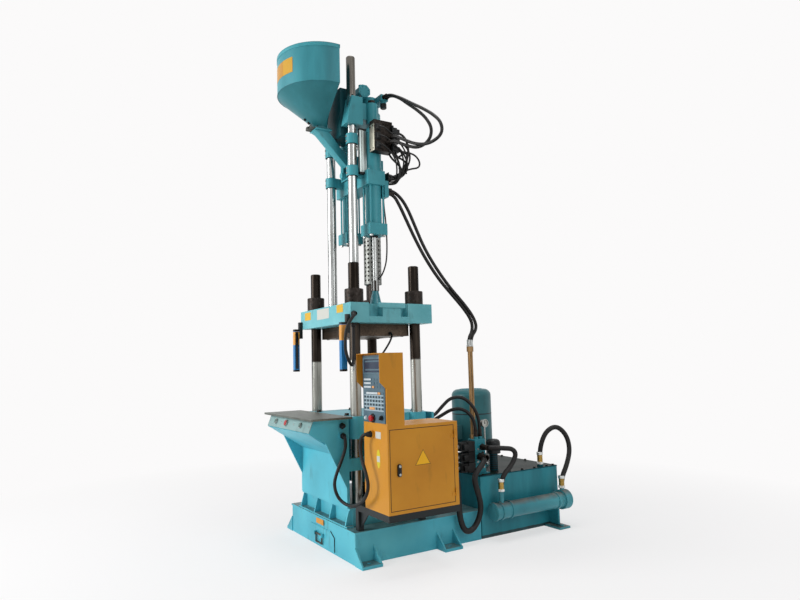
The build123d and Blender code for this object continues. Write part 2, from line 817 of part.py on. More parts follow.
# Electric motor with bell housing above the lid and the pump below it
motor_r = motor_dia / 2
fin_count = 40
fin_h = 28
fin_t = 5
pump_dia = 156
pump_l = 170
bell_foot_t = 14
flange_ring_h = 30
with BuildPart() as electric_motor:
    with BuildSketch(Plane.XY.offset(tank_top - pump_l)):
        with Locations((motor_x, motor_y)):
            Circle(pump_dia / 2)
    extrude(amount=pump_l)
    with BuildSketch(Plane.XY.offset(tank_top)):
        with Locations((motor_x, motor_y)):
            Circle(125)
    extrude(amount=bell_foot_t)
    with BuildSketch(Plane.XY.offset(tank_top + bell_foot_t)):
        with Locations((motor_x, motor_y)):
            Circle(95)
    extrude(amount=motor_low_z - tank_top - bell_foot_t)
    with BuildSketch(Plane.XY.offset(motor_low_z)):
        with Locations((motor_x, motor_y)):
            Circle(motor_r)
    extrude(amount=flange_ring_h)
    with BuildSketch(Plane.XY.offset(motor_low_z + flange_ring_h)):
        with Locations((motor_x, motor_y)):
            Circle(motor_r - fin_h + 4)
            with PolarLocations(motor_r - fin_h / 2, fin_count):
                Rectangle(fin_h, fin_t)
    extrude(amount=motor_seam_z - motor_low_z - flange_ring_h)
    with BuildSketch(Plane.XY.offset(motor_seam_z)):
        with Locations((motor_x, motor_y)):
            Circle(motor_r)
    extrude(amount=motor_top_z - motor_seam_z)
    fillet(electric_motor.faces().sort_by(Axis.Z)[-1].edges(), 52)
    with BuildSketch(Plane.XZ.offset(-motor_y + motor_r - 12)):
        with Locations((motor_x, 740)):
            Rectangle(120, 110)
    extrude(amount=62)
save(electric_motor, "electric_motor")

# Valve manifold on the lid and the solenoid valves on its front
side_port_dia = 44
clamp_port_dia = 34
clamp_port_spots = [(manifold_x + 20, manifold_y - 20), (manifold_x + 20, manifold_y + 20)]
manifold_h = manifold_top_z - manifold_low_z
with BuildPart() as valve_manifold:
    with BuildSketch(Plane.XY.offset(manifold_low_z)):
        with Locations((manifold_x, manifold_y)):
            Rectangle(manifold_w, manifold_d)
    extrude(amount=manifold_h)
    chamfer(valve_manifold.edges(), 3)
    with BuildSketch(Plane.XY.offset(tank_top)):
        with Locations((manifold_x, manifold_y)):
            Rectangle(manifold_w + 50, manifold_d + 30)
    extrude(amount=manifold_low_z - tank_top)
    for side_y, side_z in ((manifold_y, cooler_port_z), (manifold_y - 25, return_port_z)):
        with BuildSketch(Plane.YZ.offset(manifold_x + manifold_w / 2)):
            with Locations((side_y, side_z)):
                Circle(side_port_dia / 2)
        extrude(amount=fitting_l)
    with BuildSketch(Plane.XY.offset(manifold_top_z)):
        with Locations(*clamp_port_spots):
            Circle(clamp_port_dia / 2)
    extrude(amount=fitting_l)
save(valve_manifold, "valve_manifold")

valve_front = manifold_y - manifold_d / 2
valve_levels = 3
valve_step = 78
valve_w = 84
valve_h = 72
valve_l = 62
coil_w = 70
coil_h = 62
coil_l = 66
with BuildPart() as solenoid_valves:
    for level in range(valve_levels):
        valve_z = manifold_low_z + 45 + level * valve_step
        with BuildSketch(Plane.XZ.offset(-valve_front)):
            with Locations((manifold_x, valve_z)):
                Rectangle(valve_w, valve_h)
        extrude(amount=valve_l)
        with BuildSketch(Plane.XZ.offset(-valve_front + valve_l)):
            with Locations((manifold_x, valve_z)):
                Rectangle(coil_w, coil_h)
        extrude(amount=coil_l)
save(solenoid_valves, "solenoid_valves")

# Pressure gauge on a stem from the manifold, and its needle
stem_dia = 12
gauge_t = 26
with BuildPart() as pressure_gauge:
    with BuildSketch(Plane.YZ.offset(gauge_x - gauge_t / 2)):
        with Locations((gauge_y, gauge_z)):
            Circle(gauge_dia / 2)
    extrude(amount=gauge_t)
    with BuildSketch(Plane.YZ.offset(gauge_x + gauge_t / 2 - 8)):
        with Locations((gauge_y, gauge_z)):
            Circle(gauge_dia / 2 - 4)
    extrude(amount=8, mode=Mode.SUBTRACT)
    with BuildSketch(Plane.XY.offset(manifold_top_z - 60)):
        with Locations((gauge_x, gauge_y)):
            Circle(stem_dia / 2)
    extrude(amount=gauge_z - gauge_dia / 2 - manifold_top_z + 64)
    with BuildSketch(Plane.XZ.offset(-gauge_y)):
        with Locations((gauge_x, manifold_top_z - 60)):
            Circle(stem_dia / 2)
    extrude(amount=gauge_y - manifold_y - manifold_d / 2)
save(pressure_gauge, "pressure_gauge")

with BuildPart() as gauge_needle:
    with BuildSketch(Plane.YZ.offset(gauge_x + gauge_t / 2 - 8 + seat_gap)):
        with Locations((gauge_y, gauge_z)):
            Circle(4)
        with Locations((gauge_y, gauge_z + 9)):
            Rectangle(2.4, 20)
    extrude(amount=3)
save(gauge_needle, "gauge_needle")

# Oil cooler: tube with flanged rings and end caps, and two ports on top
cooler_len = cooler_rear - cooler_front
port_spots = [(cooler_front + 88, 78), (cooler_rear - 50, 28)]
cooler_ring_t = 14
cooler_bonnet_l = 72
with BuildPart() as oil_cooler:
    with BuildSketch(Plane.XZ.offset(-cooler_rear)):
        with Locations((cooler_x, cooler_z)):
            Circle(cooler_dia / 2)
    extrude(amount=cooler_len)
    fillet(oil_cooler.faces().sort_by(Axis.Y)[0].edges(), 8)
    for ring_y in (cooler_front + 62, cooler_front + 152, cooler_rear - 130):
        with BuildSketch(Plane.XZ.offset(-ring_y - cooler_ring_t / 2)):
            with Locations((cooler_x, cooler_z)):
                Circle(cooler_dia / 2 + 7)
        extrude(amount=cooler_ring_t)
    with BuildSketch(Plane.XZ.offset(-cooler_rear)):
        with Locations((cooler_x, cooler_z)):
            Circle(cooler_dia / 2 + 16)
    extrude(amount=cooler_bonnet_l)
    fillet(oil_cooler.faces().sort_by(Axis.Y)[-1].edges(), 14)
    for port_y, port_h in port_spots:
        with BuildSketch(Plane.XY.offset(cooler_z)):
            with Locations((cooler_x, port_y)):
                Circle(17)
        extrude(amount=cooler_dia / 2 + port_h)
    with BuildSketch(Plane.YZ.offset(tank_half_w - 4)):
        with Locations((cooler_front + 190, cooler_z)):
            Rectangle(50, 70)
    extrude(amount=cooler_x - cooler_dia / 2 + 8 - tank_half_w + 4)
save(oil_cooler, "oil_cooler")

# Upper platen: thick block with the tie-bar holes, nozzle hole and a recess in its right side
recess_depth = 70
recess_front = -195
recess_rear = 130
recess_low = platen_z + 45
with BuildPart() as upper_platen:
    with BuildSketch(Plane.XY.offset(platen_z)):
        Rectangle(platen_w, platen_d)
        with Locations(*bar_spots):
            Circle(bar_dia / 2, mode=Mode.SUBTRACT)
        with Locations((0, inj_y)):
            Circle(nozzle_hole_dia / 2, mode=Mode.SUBTRACT)
    extrude(amount=platen_t)
    with BuildSketch(Plane.XY.offset(recess_low)):
        with Locations((platen_w / 2 - recess_depth / 2, (recess_front + recess_rear) / 2)):
            Rectangle(recess_depth, recess_rear - recess_front)
    extrude(amount=platen_top - recess_low, mode=Mode.SUBTRACT)
    with BuildSketch(Plane.XY.offset(recess_low)):
        with Locations((platen_w / 2 - recess_depth / 2, -8)):
            Rectangle(recess_depth, 150)
    extrude(amount=platen_top - 30 - recess_low)
save(upper_platen, "upper_platen")

with BuildPart() as mould_plate:
    with BuildSketch(Plane.XY.offset(platen_z - mould_plate_t)):
        Rectangle(mould_plate_w, mould_plate_d)
        with Locations((0, inj_y)):
            Circle(nozzle_hole_dia / 2, mode=Mode.SUBTRACT)
    extrude(amount=mould_plate_t)
save(mould_plate, "mould_plate")

# Tie bars, turned down below the clamp crosshead, and their nuts
crosshead_top = 316
crosshead_low = crosshead_top - crosshead_t
bar_low_z = crosshead_low - bar_end_nut_h
with BuildPart() as tie_bars:
    with BuildSketch(Plane.XY.offset(crosshead_top)):
        with Locations(*bar_spots):
            Circle(bar_dia / 2)
    extrude(amount=bar_top_z - crosshead_top)
    chamfer(tie_bars.faces().group_by(Axis.Z)[-1].edges(), 6)
    with BuildSketch(Plane.XY.offset(bar_low_z)):
        with Locations(*bar_spots):
            Circle(bar_end_dia / 2)
    extrude(amount=crosshead_top - bar_low_z)
save(tie_bars, "tie_bars")

with BuildPart() as tie_bar_nuts:
    with BuildSketch(Plane.XY.offset(platen_top)):
        with Locations(*bar_spots):
            Circle(bar_nut_dia / 2)
            Circle(bar_dia / 2, mode=Mode.SUBTRACT)
    extrude(amount=bar_nut_h)
    chamfer(tie_bar_nuts.faces().group_by(Axis.Z)[-1].edges().filter_by(GeomType.CIRCLE), 3)
    with BuildSketch(Plane.XY.offset(bar_low_z)):
        with Locations(*bar_spots):
            Circle(bar_end_nut_dia / 2)
            Circle(bar_end_dia / 2, mode=Mode.SUBTRACT)
    extrude(amount=bar_end_nut_h)
save(tie_bar_nuts, "tie_bar_nuts")

# Clamp crosshead: lower plate that ties the bars to the clamp ram
ram_top_z = 790
crosshead_w = 760
crosshead_d = 600
with BuildPart() as clamp_crosshead:
    with BuildSketch(Plane.XY.offset(crosshead_low)):
        Rectangle(crosshead_w, crosshead_d)
        with Locations(*bar_spots):
            Circle(bar_end_dia / 2, mode=Mode.SUBTRACT)
    extrude(amount=crosshead_t)
    with BuildSketch(Plane.XY.offset(crosshead_top)):
        Circle(ram_dia / 2)
    extrude(amount=ram_top_z - crosshead_top)
save(clamp_crosshead, "clamp_crosshead")

# Guide rods of the injection unit
with BuildPart() as guide_rods:
    with BuildSketch(Plane.XY.offset(platen_top)):
        with Locations(*rod_spots):
            Circle(rod_dia / 2)
    extrude(amount=rod_top_z - platen_top)
    fillet(guide_rods.faces().group_by(Axis.Z)[-1].edges(), 14)
save(guide_rods, "guide_rods")

# Seat rods: coned foot, nut, rod and piston inside each seat cylinder
foot_cone_h = 117
foot_nut_h = 76
seat_piston_z = seat_cap_z + seat_cap_h + 11
seat_piston_h = 40
with BuildPart() as seat_rods:
    with BuildSketch(Plane.XY.offset(platen_top)):
        with Locations(*seat_spots):
            Circle(57)
    extrude(amount=18)
    with Locations(*[(x, y, platen_top + 18 + (foot_cone_h - 18) / 2) for x, y in seat_spots]):
        Cone(45, 23, foot_cone_h - 18)
    with BuildSketch(Plane.XY.offset(platen_top + foot_cone_h)):
        with Locations(*seat_spots):
            RegularPolygon(29, 6)
    extrude(amount=foot_nut_h)
    with BuildSketch(Plane.XY.offset(platen_top + foot_cone_h + foot_nut_h)):
        with Locations(*seat_spots):
            Circle(seat_rod_dia / 2)
    extrude(amount=seat_piston_z - platen_top - foot_cone_h - foot_nut_h)
    with BuildSketch(Plane.XY.offset(seat_piston_z)):
        with Locations(*seat_spots):
            Circle(seat_bore / 2 - run_fit)
    extrude(amount=seat_piston_h)
save(seat_rods, "seat_rods")

# Light curtains: bars hung by brackets from the platen's front corners
curtain_x = 423
curtain_y = -391
curtain_w = 36
curtain_d = 42
curtain_low_z = 1262
curtain_top_z = 1592
with BuildPart() as light_curtains:
    for side in (-1, 1):
        with BuildSketch(Plane.XY.offset(curtain_low_z)):
            with Locations((side * curtain_x, curtain_y)):
                Rectangle(curtain_w, curtain_d)
        extrude(amount=curtain_top_z - curtain_low_z)
        with BuildSketch(Plane.XY.offset(curtain_top_z - 70)):
            with Locations((side * curtain_x, (curtain_y + curtain_d / 2 - platen_d / 2) / 2)):
                Rectangle(curtain_w - 12, -platen_d / 2 - curtain_y - curtain_d / 2)
        extrude(amount=130)
save(light_curtains, "light_curtains")

# Carriage: plate with guide collars and the throat block round the barrel
plate_half_w = 275
plate_front = -85
plate_rear = 62
arm_x = 172
arm_w = 44
throat_half_w = 75
throat_front = -142
throat_rear = 165
carriage_top = carriage_z + carriage_t
port_half_w = 30
port_low_z = 2800
port_top_z = 2870
supply_block_z = 2575
supply_block_t = 33
supply_xs = [219, 251]
supply_zs = [2648, 2608]
with BuildPart() as carriage:
    with BuildSketch(Plane.XY.offset(carriage_z)):
        with Locations((0, (plate_front + plate_rear) / 2)):
            Rectangle(2 * plate_half_w, plate_rear - plate_front)
        with Locations((0, (plate_front + throat_rear) / 2)):
            Rectangle(2 * throat_half_w, throat_rear - plate_front)
    extrude(amount=carriage_t)
    with BuildSketch(Plane.XY.offset(carriage_top)):
        with Locations((0, (throat_front + throat_rear) / 2)):
            Rectangle(2 * throat_half_w, throat_rear - throat_front)
    extrude(amount=throat_top_z - carriage_top)
    with BuildSketch(Plane.XY.offset(supply_block_z)):
        with Locations(((supply_xs[0] + supply_xs[1]) / 2, plate_rear + supply_block_t / 2)):
            Rectangle(70, supply_block_t)
    extrude(amount=carriage_z + 40 - supply_block_z)
    for side in (-1, 1):
        with BuildSketch(Plane.XY.offset(collar_low_z)):
            with Locations((side * rod_pitch / 2, rod_y)):
                Circle(collar_dia / 2)
            with Locations((side * arm_x, (rod_y + plate_front + 5) / 2)):
                Rectangle(arm_w, plate_front + 5 - rod_y)
        extrude(amount=collar_h)
    with BuildSketch(Plane.XY.offset(collar_low_z)):
        with Locations(*rod_spots):
            Circle(rod_dia / 2 + run_fit)
    extrude(amount=collar_h, mode=Mode.SUBTRACT)
    with BuildSketch(Plane.XY.offset(carriage_z)):
        with Locations((0, inj_y)):
            Circle(barrel_dia / 2)
    extrude(amount=throat_top_z - carriage_z, mode=Mode.SUBTRACT)
    with BuildSketch(Plane.XZ.offset(-inj_y)):
        with Locations((0, (port_low_z + port_top_z) / 2)):
            Rectangle(2 * port_half_w, port_top_z - port_low_z)
    extrude(amount=inj_y - throat_front, mode=Mode.SUBTRACT)
save(carriage, "carriage")

# Seat cylinders under the carriage: square end caps, tubes and tie rods
seat_cap_w = 150
seat_tie_dia = 14
seat_tie_off = 54
with BuildPart() as seat_cylinders:
    with BuildSketch(Plane.XY.offset(seat_cap_z)):
        with Locations(*seat_spots):
            Rectangle(seat_cap_w, seat_cap_w)
            Circle(seat_rod_dia / 2 + run_fit, mode=Mode.SUBTRACT)
    extrude(amount=seat_cap_h)
    with BuildSketch(Plane.XY.offset(seat_cap_z + seat_cap_h)):
        with Locations(*seat_spots):
            Circle(seat_cyl_dia / 2)
            with GridLocations(2 * seat_tie_off, 2 * seat_tie_off, 2, 2):
                Circle(seat_tie_dia / 2)
            Circle(seat_bore / 2, mode=Mode.SUBTRACT)
    extrude(amount=carriage_z - seat_cap_z - seat_cap_h)
save(seat_cylinders, "seat_cylinders")

# Barrel with nozzle, feed port and heater bands
nozzle_h = 90
band_t = 8
band_h = 95
band_count = 5
band_low_z = 1975
band_step = 128
with BuildPart() as barrel:
    with BuildSketch(Plane.XY.offset(nozzle_tip_z + nozzle_h)):
        with Locations((0, inj_y)):
            Circle(barrel_dia / 2)
    extrude(amount=throat_top_z - nozzle_tip_z - nozzle_h)
    with Locations((0, inj_y, nozzle_tip_z + nozzle_h / 2)):
        Cone(12, barrel_dia / 2 - 6, nozzle_h)
    for band in range(band_count):
        with BuildSketch(Plane.XY.offset(band_low_z + band * band_step)):
            with Locations((0, inj_y)):
                Circle(barrel_dia / 2 + band_t)
        extrude(amount=band_h)
    with BuildSketch(Plane.XY.offset(nozzle_tip_z + nozzle_h)):
        with Locations((0, inj_y)):
            Circle(barrel_bore / 2)
    extrude(amount=throat_top_z - nozzle_tip_z - nozzle_h, mode=Mode.SUBTRACT)
    with BuildSketch(Plane.XY.offset(nozzle_tip_z)):
        with Locations((0, inj_y)):
            Circle(4)
    extrude(amount=nozzle_h, mode=Mode.SUBTRACT)
    with BuildSketch(Plane.XZ.offset(-inj_y)):
        with Locations((0, (port_low_z + port_top_z) / 2)):
            Rectangle(2 * port_half_w - 20, port_top_z - port_low_z - 10)
    extrude(amount=barrel_dia, mode=Mode.SUBTRACT)
save(barrel, "barrel")

# Barrel guard: sheet tube under the carriage, closed to a ring at the bottom
guard_t = 2
with BuildPart() as barrel_guard:
    with BuildSketch(Plane.XY.offset(guard_low_z)):
        with Locations((0, inj_y)):
            Circle(guard_dia / 2)
            Circle(guard_dia / 2 - guard_t, mode=Mode.SUBTRACT)
    extrude(amount=carriage_z - guard_low_z)
    with BuildSketch(Plane.XY.offset(guard_low_z)):
        with Locations((0, inj_y)):
            Circle(guard_dia / 2)
            Circle(barrel_dia / 2, mode=Mode.SUBTRACT)
    extrude(amount=8)
save(barrel_guard, "barrel_guard")

# Hopper: half-round front, flat back, coning down to a round spout over the gate
gate_z = 3112
gate_t = 4
spout_low_z = gate_z + gate_t + seat_gap
cone_low_z = spout_low_z + 22
flange_half_w = 62
with BuildPart() as hopper:
    for inset, how in ((0, Mode.ADD), (hopper_sheet, Mode.SUBTRACT)):
        with BuildSketch(Plane.XY.offset(hopper_seam_z)):
            with BuildLine():
                hop_r = hopper_r - inset
                hop_back = hopper_back_y - inset
                half_arc = CenterArc((0, hopper_y), hop_r, 180, 180)
                Polyline(half_arc @ 1, (hop_r, hop_back), (-hop_r, hop_back), half_arc @ 0)
            make_face()
        extrude(amount=hopper_top_z - hopper_seam_z, mode=how)
        with BuildSketch(Plane.XY.offset(hopper_seam_z)):
            with BuildLine():
                front_arc = CenterArc((0, hopper_y), hop_r, 180, 180)
                Polyline(front_arc @ 1, (hop_r, hop_back), (-hop_r, hop_back), front_arc @ 0)
            make_face()
        with BuildSketch(Plane.XY.offset(cone_low_z)):
            with BuildLine():
                spout_r = spout_dia / 2 - inset
                low_arc = CenterArc((0, hopper_y), spout_r, 180, 180)
                Polyline(low_arc @ 1, (spout_r, hopper_y + 10 - inset))
                ThreePointArc(
                    (spout_r, hopper_y + 10 - inset),
                    (0, hopper_y + spout_r),
                    (-spout_r, hopper_y + 10 - inset),
                )
                Polyline((-spout_r, hopper_y + 10 - inset), low_arc @ 0)
            make_face()
        loft(ruled=True, mode=how)
    with BuildSketch(Plane.XY.offset(spout_low_z)):
        with Locations((0, hopper_y)):
            Rectangle(2 * flange_half_w, 2 * flange_half_w)
    extrude(amount=6)
    with BuildSketch(Plane.XY.offset(spout_low_z)):
        with Locations((0, hopper_y)):
            Circle(spout_dia / 2)
    extrude(amount=cone_low_z - spout_low_z)
    with BuildSketch(Plane.XY.offset(spout_low_z)):
        with Locations((0, hopper_y)):
            Circle(spout_dia / 2 - hopper_sheet)
    extrude(amount=cone_low_z - spout_low_z, mode=Mode.SUBTRACT)
save(hopper, "hopper")

# Hopper lid that rests on the rim, with a locating lip inside
lid_lip_gap = 1
with BuildPart() as hopper_lid:
    for lid_r, lid_back, low, high in (
        (hopper_r + 3, hopper_back_y + 3, hopper_top_z, hopper_top_z + 4),
        (
            hopper_r - hopper_sheet - lid_lip_gap,
            hopper_back_y - hopper_sheet - lid_lip_gap,
            hopper_top_z - 8,
            hopper_top_z,
        ),
    ):
        with BuildSketch(Plane.XY.offset(low)):
            with BuildLine():
                lid_arc = CenterArc((0, hopper_y), lid_r, 180, 180)
                Polyline(lid_arc @ 1, (lid_r, lid_back), (-lid_r, lid_back), lid_arc @ 0)
            make_face()
        extrude(amount=high - low)
save(hopper_lid, "hopper_lid")

# Feed chute: sloping duct from the spout into the throat block
chute_half_w = 49
chute_wall = 3
chute_top = gate_z - seat_gap
chute_front_y = -236
chute_cap_z = 2781
chute_cap_dia = 50
chute_cap_l = 22
with BuildPart() as feed_chute:
    with BuildSketch(Plane.YZ.offset(-chute_half_w)):
        with BuildLine():
            Polyline(
                (hopper_y - flange_half_w, chute_top),
                (hopper_y - flange_half_w, chute_top - 34),
                (-312, 2968),
                (chute_front_y, 2890),
                (chute_front_y, 2752),
                (throat_front, 2752),
                (throat_front, 2955),
                (-225, 3039),
                (hopper_y + flange_half_w, chute_top - 8),
                (hopper_y + flange_half_w, chute_top),
                close=True,
            )
        make_face()
    extrude(amount=2 * chute_half_w)
    with BuildSketch(Plane.YZ.offset(-chute_half_w + chute_wall)):
        with BuildLine():
            Polyline(
                (hopper_y - flange_half_w + 12, chute_top),
                (hopper_y - flange_half_w + 12, chute_top - 26),
                (-308, 2975),
                (-232, 2893),
                (-232, port_low_z),
                (throat_front - 4, port_low_z),
                (throat_front - 4, 2953),
                (-229, 3034),
                (hopper_y + flange_half_w - 12, chute_top - 8),
                (hopper_y + flange_half_w - 12, chute_top),
                close=True,
            )
        make_face()
    extrude(amount=2 * chute_half_w - 2 * chute_wall, mode=Mode.SUBTRACT)
    with BuildSketch(Plane.XZ.offset(-throat_front)):
        with Locations((0, (port_low_z + port_top_z) / 2)):
            Rectangle(2 * port_half_w, port_top_z - port_low_z)
    extrude(amount=12, mode=Mode.SUBTRACT)
    for side in (-1, 1):
        with BuildSketch(Plane.XY.offset(chute_top - 6)):
            with Locations((side * (flange_half_w - 6), hopper_y)):
                Rectangle(12, 2 * flange_half_w)
            with Locations((side * (flange_half_w + chute_half_w) / 2, hopper_y)):
                Rectangle(flange_half_w - chute_half_w, 2 * flange_half_w)
        extrude(amount=6)
        with BuildSketch(Plane.XY.offset(chute_top)):
            with Locations((side * (flange_half_w - 5), hopper_y)):
                Rectangle(10, 2 * flange_half_w)
        extrude(amount=spout_low_z - chute_top)
    with BuildSketch(Plane.XZ.offset(-chute_front_y)):
        with Locations((0, chute_cap_z)):
            Circle(chute_cap_dia / 2)
    extrude(amount=chute_cap_l)
save(feed_chute, "feed_chute")

# Hopper gate: flat slide between spout and chute, with a bent tab
gate_half_w = flange_half_w - 10 - seat_gap
gate_front = -445
gate_rear = hopper_y + flange_half_w - 4
with BuildPart() as hopper_gate:
    with BuildSketch(Plane.XY.offset(gate_z)):
        with Locations((0, (gate_front + gate_rear) / 2)):
            Rectangle(2 * gate_half_w, gate_rear - gate_front)
    extrude(amount=gate_t)
    with BuildSketch(Plane.XY.offset(gate_z)):
        with Locations((0, gate_front - 2)):
            Rectangle(2 * gate_half_w, 4)
    extrude(amount=20)
save(hopper_gate, "hopper_gate")

# Injection cylinders on the carriage, each with an upper guide collar on its rod
ram_piston_z = 2790
ram_piston_h = 40
ram_gland_h = 30
with BuildPart() as injection_cylinders:
    with BuildSketch(Plane.XY.offset(carriage_top)):
        with Locations(*seat_spots):
            Circle(ram_cyl_dia / 2)
    extrude(amount=ram_cyl_top_z - carriage_top)
    for side in (-1, 1):
        with BuildSketch(Plane.XY.offset(collar_high_z)):
            with Locations((side * rod_pitch / 2, rod_y)):
                Circle(collar_dia / 2)
            with Locations((side * arm_x, (rod_y - 40) / 2)):
                Rectangle(arm_w, -rod_y - 40)
        extrude(amount=collar_h)
    with BuildSketch(Plane.XY.offset(collar_high_z)):
        with Locations(*rod_spots):
            Circle(rod_dia / 2 + run_fit)
    extrude(amount=collar_h, mode=Mode.SUBTRACT)
    with BuildSketch(Plane.XY.offset(ram_piston_z - 5)):
        with Locations(*seat_spots):
            Circle(ram_bore / 2)
    extrude(amount=ram_cyl_top_z - ram_gland_h - ram_piston_z + 5, mode=Mode.SUBTRACT)
    with BuildSketch(Plane.XY.offset(ram_cyl_top_z - ram_gland_h)):
        with Locations(*seat_spots):
            Circle(ram_rod_dia / 2 + run_fit)
    extrude(amount=ram_gland_h, mode=Mode.SUBTRACT)
save(injection_cylinders, "injection_cylinders")

# Valve manifold beside the right injection cylinder
box_left = 268
box_right = 338
box_front = -60
box_rear = 99
box_low_z = 2905
box_top_z = 3146
with BuildPart() as injection_manifold:
    with BuildSketch(Plane.XY.offset(box_low_z)):
        with Locations(((box_left + box_right) / 2, (box_front + box_rear) / 2)):
            Rectangle(box_right - box_left, box_rear - box_front)
    extrude(amount=box_top_z - box_low_z)
    with BuildSketch(Plane.XY.offset(box_low_z + 40)):
        with Locations((box_left - 14, seat_y)):
            Rectangle(28, 40)
        with Locations((seat_x, seat_y)):
            Circle(ram_cyl_dia / 2, mode=Mode.SUBTRACT)
    extrude(amount=140)
save(injection_manifold, "injection_manifold")

# Position sensor: square profile beside the right rod, footed on the carriage plate
sensor_x = 212
sensor_y = -114
sensor_w = 24
sensor_low_z = 2745
sensor_top_z = 3100
with BuildPart() as position_sensor:
    with BuildSketch(Plane.XY.offset(sensor_low_z)):
        with Locations((sensor_x, sensor_y)):
            Rectangle(sensor_w, sensor_w)
    extrude(amount=sensor_top_z - sensor_low_z)
    with BuildSketch(Plane.XY.offset(sensor_low_z)):
        with Locations((sensor_x, (sensor_y + plate_front) / 2)):
            Rectangle(sensor_w, plate_front - sensor_y)
    extrude(amount=carriage_top - sensor_low_z)
save(position_sensor, "position_sensor")

# Injection crosshead: guide bosses, beam, end bosses, motor housing and the two rods
head_top = head_z + head_t
head_front = -235
head_rear = -100
housing_r = 88
screw_seat_z = head_z + 45
rod_nut_dia = 88
rod_nut_h = 32
thrust_x = 10
thrust_w = 230
thrust_low_z = 3060
thrust_top_z = 3440
with BuildPart() as screw_crosshead:
    for side in (-1, 1):
        with BuildSketch(Plane.YZ.offset(side * rod_pitch / 2 - 52)):
            with BuildLine():
                Polyline(
                    (head_front, head_boss_low_z),
                    (head_front + 42, head_boss_top_z),
                    (head_rear, head_boss_top_z),
                    (head_rear, head_boss_low_z),
                    close=True,
                )
            make_face()
        extrude(amount=104)
    with BuildSketch(Plane.XY.offset(head_z)):
        with Locations((0, (head_rear - 80 + 20) / 2)):
            Rectangle(2 * seat_x, 20 - head_rear + 80)
        with Locations(*seat_spots):
            Circle(46)
        with Locations((0, inj_y)):
            Circle(housing_r)
        with Locations((0, inj_y / 2)):
            Rectangle(2 * housing_r, inj_y)
    extrude(amount=head_t)
    with BuildSketch(Plane.XY.offset(thrust_low_z)):
        with Locations((thrust_x, (head_front + head_rear) / 2)):
            Rectangle(thrust_w, head_rear - head_front)
    extrude(amount=thrust_top_z - thrust_low_z)
    with BuildSketch(Plane.XY.offset(head_boss_low_z)):
        with Locations(*rod_spots):
            Circle(rod_dia / 2 + run_fit)
    extrude(amount=head_boss_top_z - head_boss_low_z, mode=Mode.SUBTRACT)
    with BuildSketch(Plane.XY.offset(head_z)):
        with Locations((0, inj_y)):
            Circle(barrel_bore / 2)
    extrude(amount=screw_seat_z - head_z, mode=Mode.SUBTRACT)
    with BuildSketch(Plane.XY.offset(head_z - rod_nut_h)):
        with Locations(*seat_spots):
            Circle(rod_nut_dia / 2)
    extrude(amount=rod_nut_h)
    with BuildSketch(Plane.XY.offset(ram_piston_z)):
        with Locations(*seat_spots):
            Circle(ram_rod_dia / 2)
    extrude(amount=head_z - ram_piston_z)
    with BuildSketch(Plane.XY.offset(ram_piston_z)):
        with Locations(*seat_spots):
            Circle(ram_bore / 2 - run_fit)
    extrude(amount=ram_piston_h)
save(screw_crosshead, "screw_crosshead")

# Hydraulic motor on the crosshead, with an octagonal valve cap and a port elbow
motor_flange_dia = 150
motor_flange_h = 60
motor_body_dia = 124
motor_body_h = 75
cap_left = -40
cap_l = 150
cap_y = -10
cap_z = 3468
cap_r = 50
port_block_x = 110
port_block_y = 128
port_block_w = 150
port_block_d = 64
port_block_h = 50
port_block_z = 3386
port_plug_dia = 48
port_plug_l = 60
with BuildPart() as hydraulic_motor:
    with BuildSketch(Plane.XY.offset(head_top)):
        with Locations((0, inj_y)):
            Circle(motor_flange_dia / 2)
    extrude(amount=motor_flange_h)
    with BuildSketch(Plane.XY.offset(head_top + motor_flange_h)):
        with Locations((0, inj_y)):
            Circle(motor_body_dia / 2)
    extrude(amount=motor_body_h)
    with BuildSketch(Plane.YZ.offset(cap_left)):
        with Locations((cap_y, cap_z)):
            RegularPolygon(cap_r, 8, major_radius=False, rotation=22.5)
    extrude(amount=cap_l)
    with BuildSketch(Plane.XY.offset(cap_z + cap_r - 18)):
        with Locations((40, cap_y)):
            Circle(16)
    extrude(amount=42)
    with BuildSketch(Plane.XY.offset(port_block_z)):
        with Locations((port_block_x, port_block_y)):
            Rectangle(port_block_w, port_block_d)
    extrude(amount=port_block_h)
    with BuildSketch(Plane.XY.offset(port_block_z + 4 - port_plug_l)):
        with Locations((port_block_x + 50, port_block_y + 2)):
            Circle(port_plug_dia / 2)
    extrude(amount=port_plug_l)
save(hydraulic_motor, "hydraulic_motor")

# Screw: plain shank that turns and slides in the barrel
screw_low_z = nozzle_tip_z + nozzle_h + 2
with BuildPart() as screw:
    with BuildSketch(Plane.XY.offset(screw_low_z)):
        with Locations((0, inj_y)):
            Circle(barrel_bore / 2 - run_fit)
    extrude(amount=screw_seat_z - 1 - screw_low_z)
    with BuildSketch(Plane.XY.offset(throat_top_z + 40)):
        with Locations((0, inj_y)):
            Circle(38)
    extrude(amount=30)
save(screw, "screw")

# Steel pipes from the valve manifold up to the fittings of the supply hoses
pipe_dia = 22
pipe_top_z = 1380
pipe_nut_dia = 36
pipe_nut_h = 40
pipe_spots = [(manifold_x - 37, manifold_y + 10), (manifold_x - 23, manifold_y - 23)]
with BuildPart() as steel_pipes:
    with BuildSketch(Plane.XY.offset(manifold_top_z)):
        with Locations(*pipe_spots):
            Circle(pipe_dia / 2)
    extrude(amount=pipe_top_z - manifold_top_z)
    for nut_z, nut_h in ((manifold_top_z, 30), (pipe_top_z, pipe_nut_h)):
        with BuildSketch(Plane.XY.offset(nut_z)):
            with Locations(*pipe_spots):
                RegularPolygon(pipe_nut_dia / 2, 6)
        extrude(amount=nut_h)
save(steel_pipes, "steel_pipes")


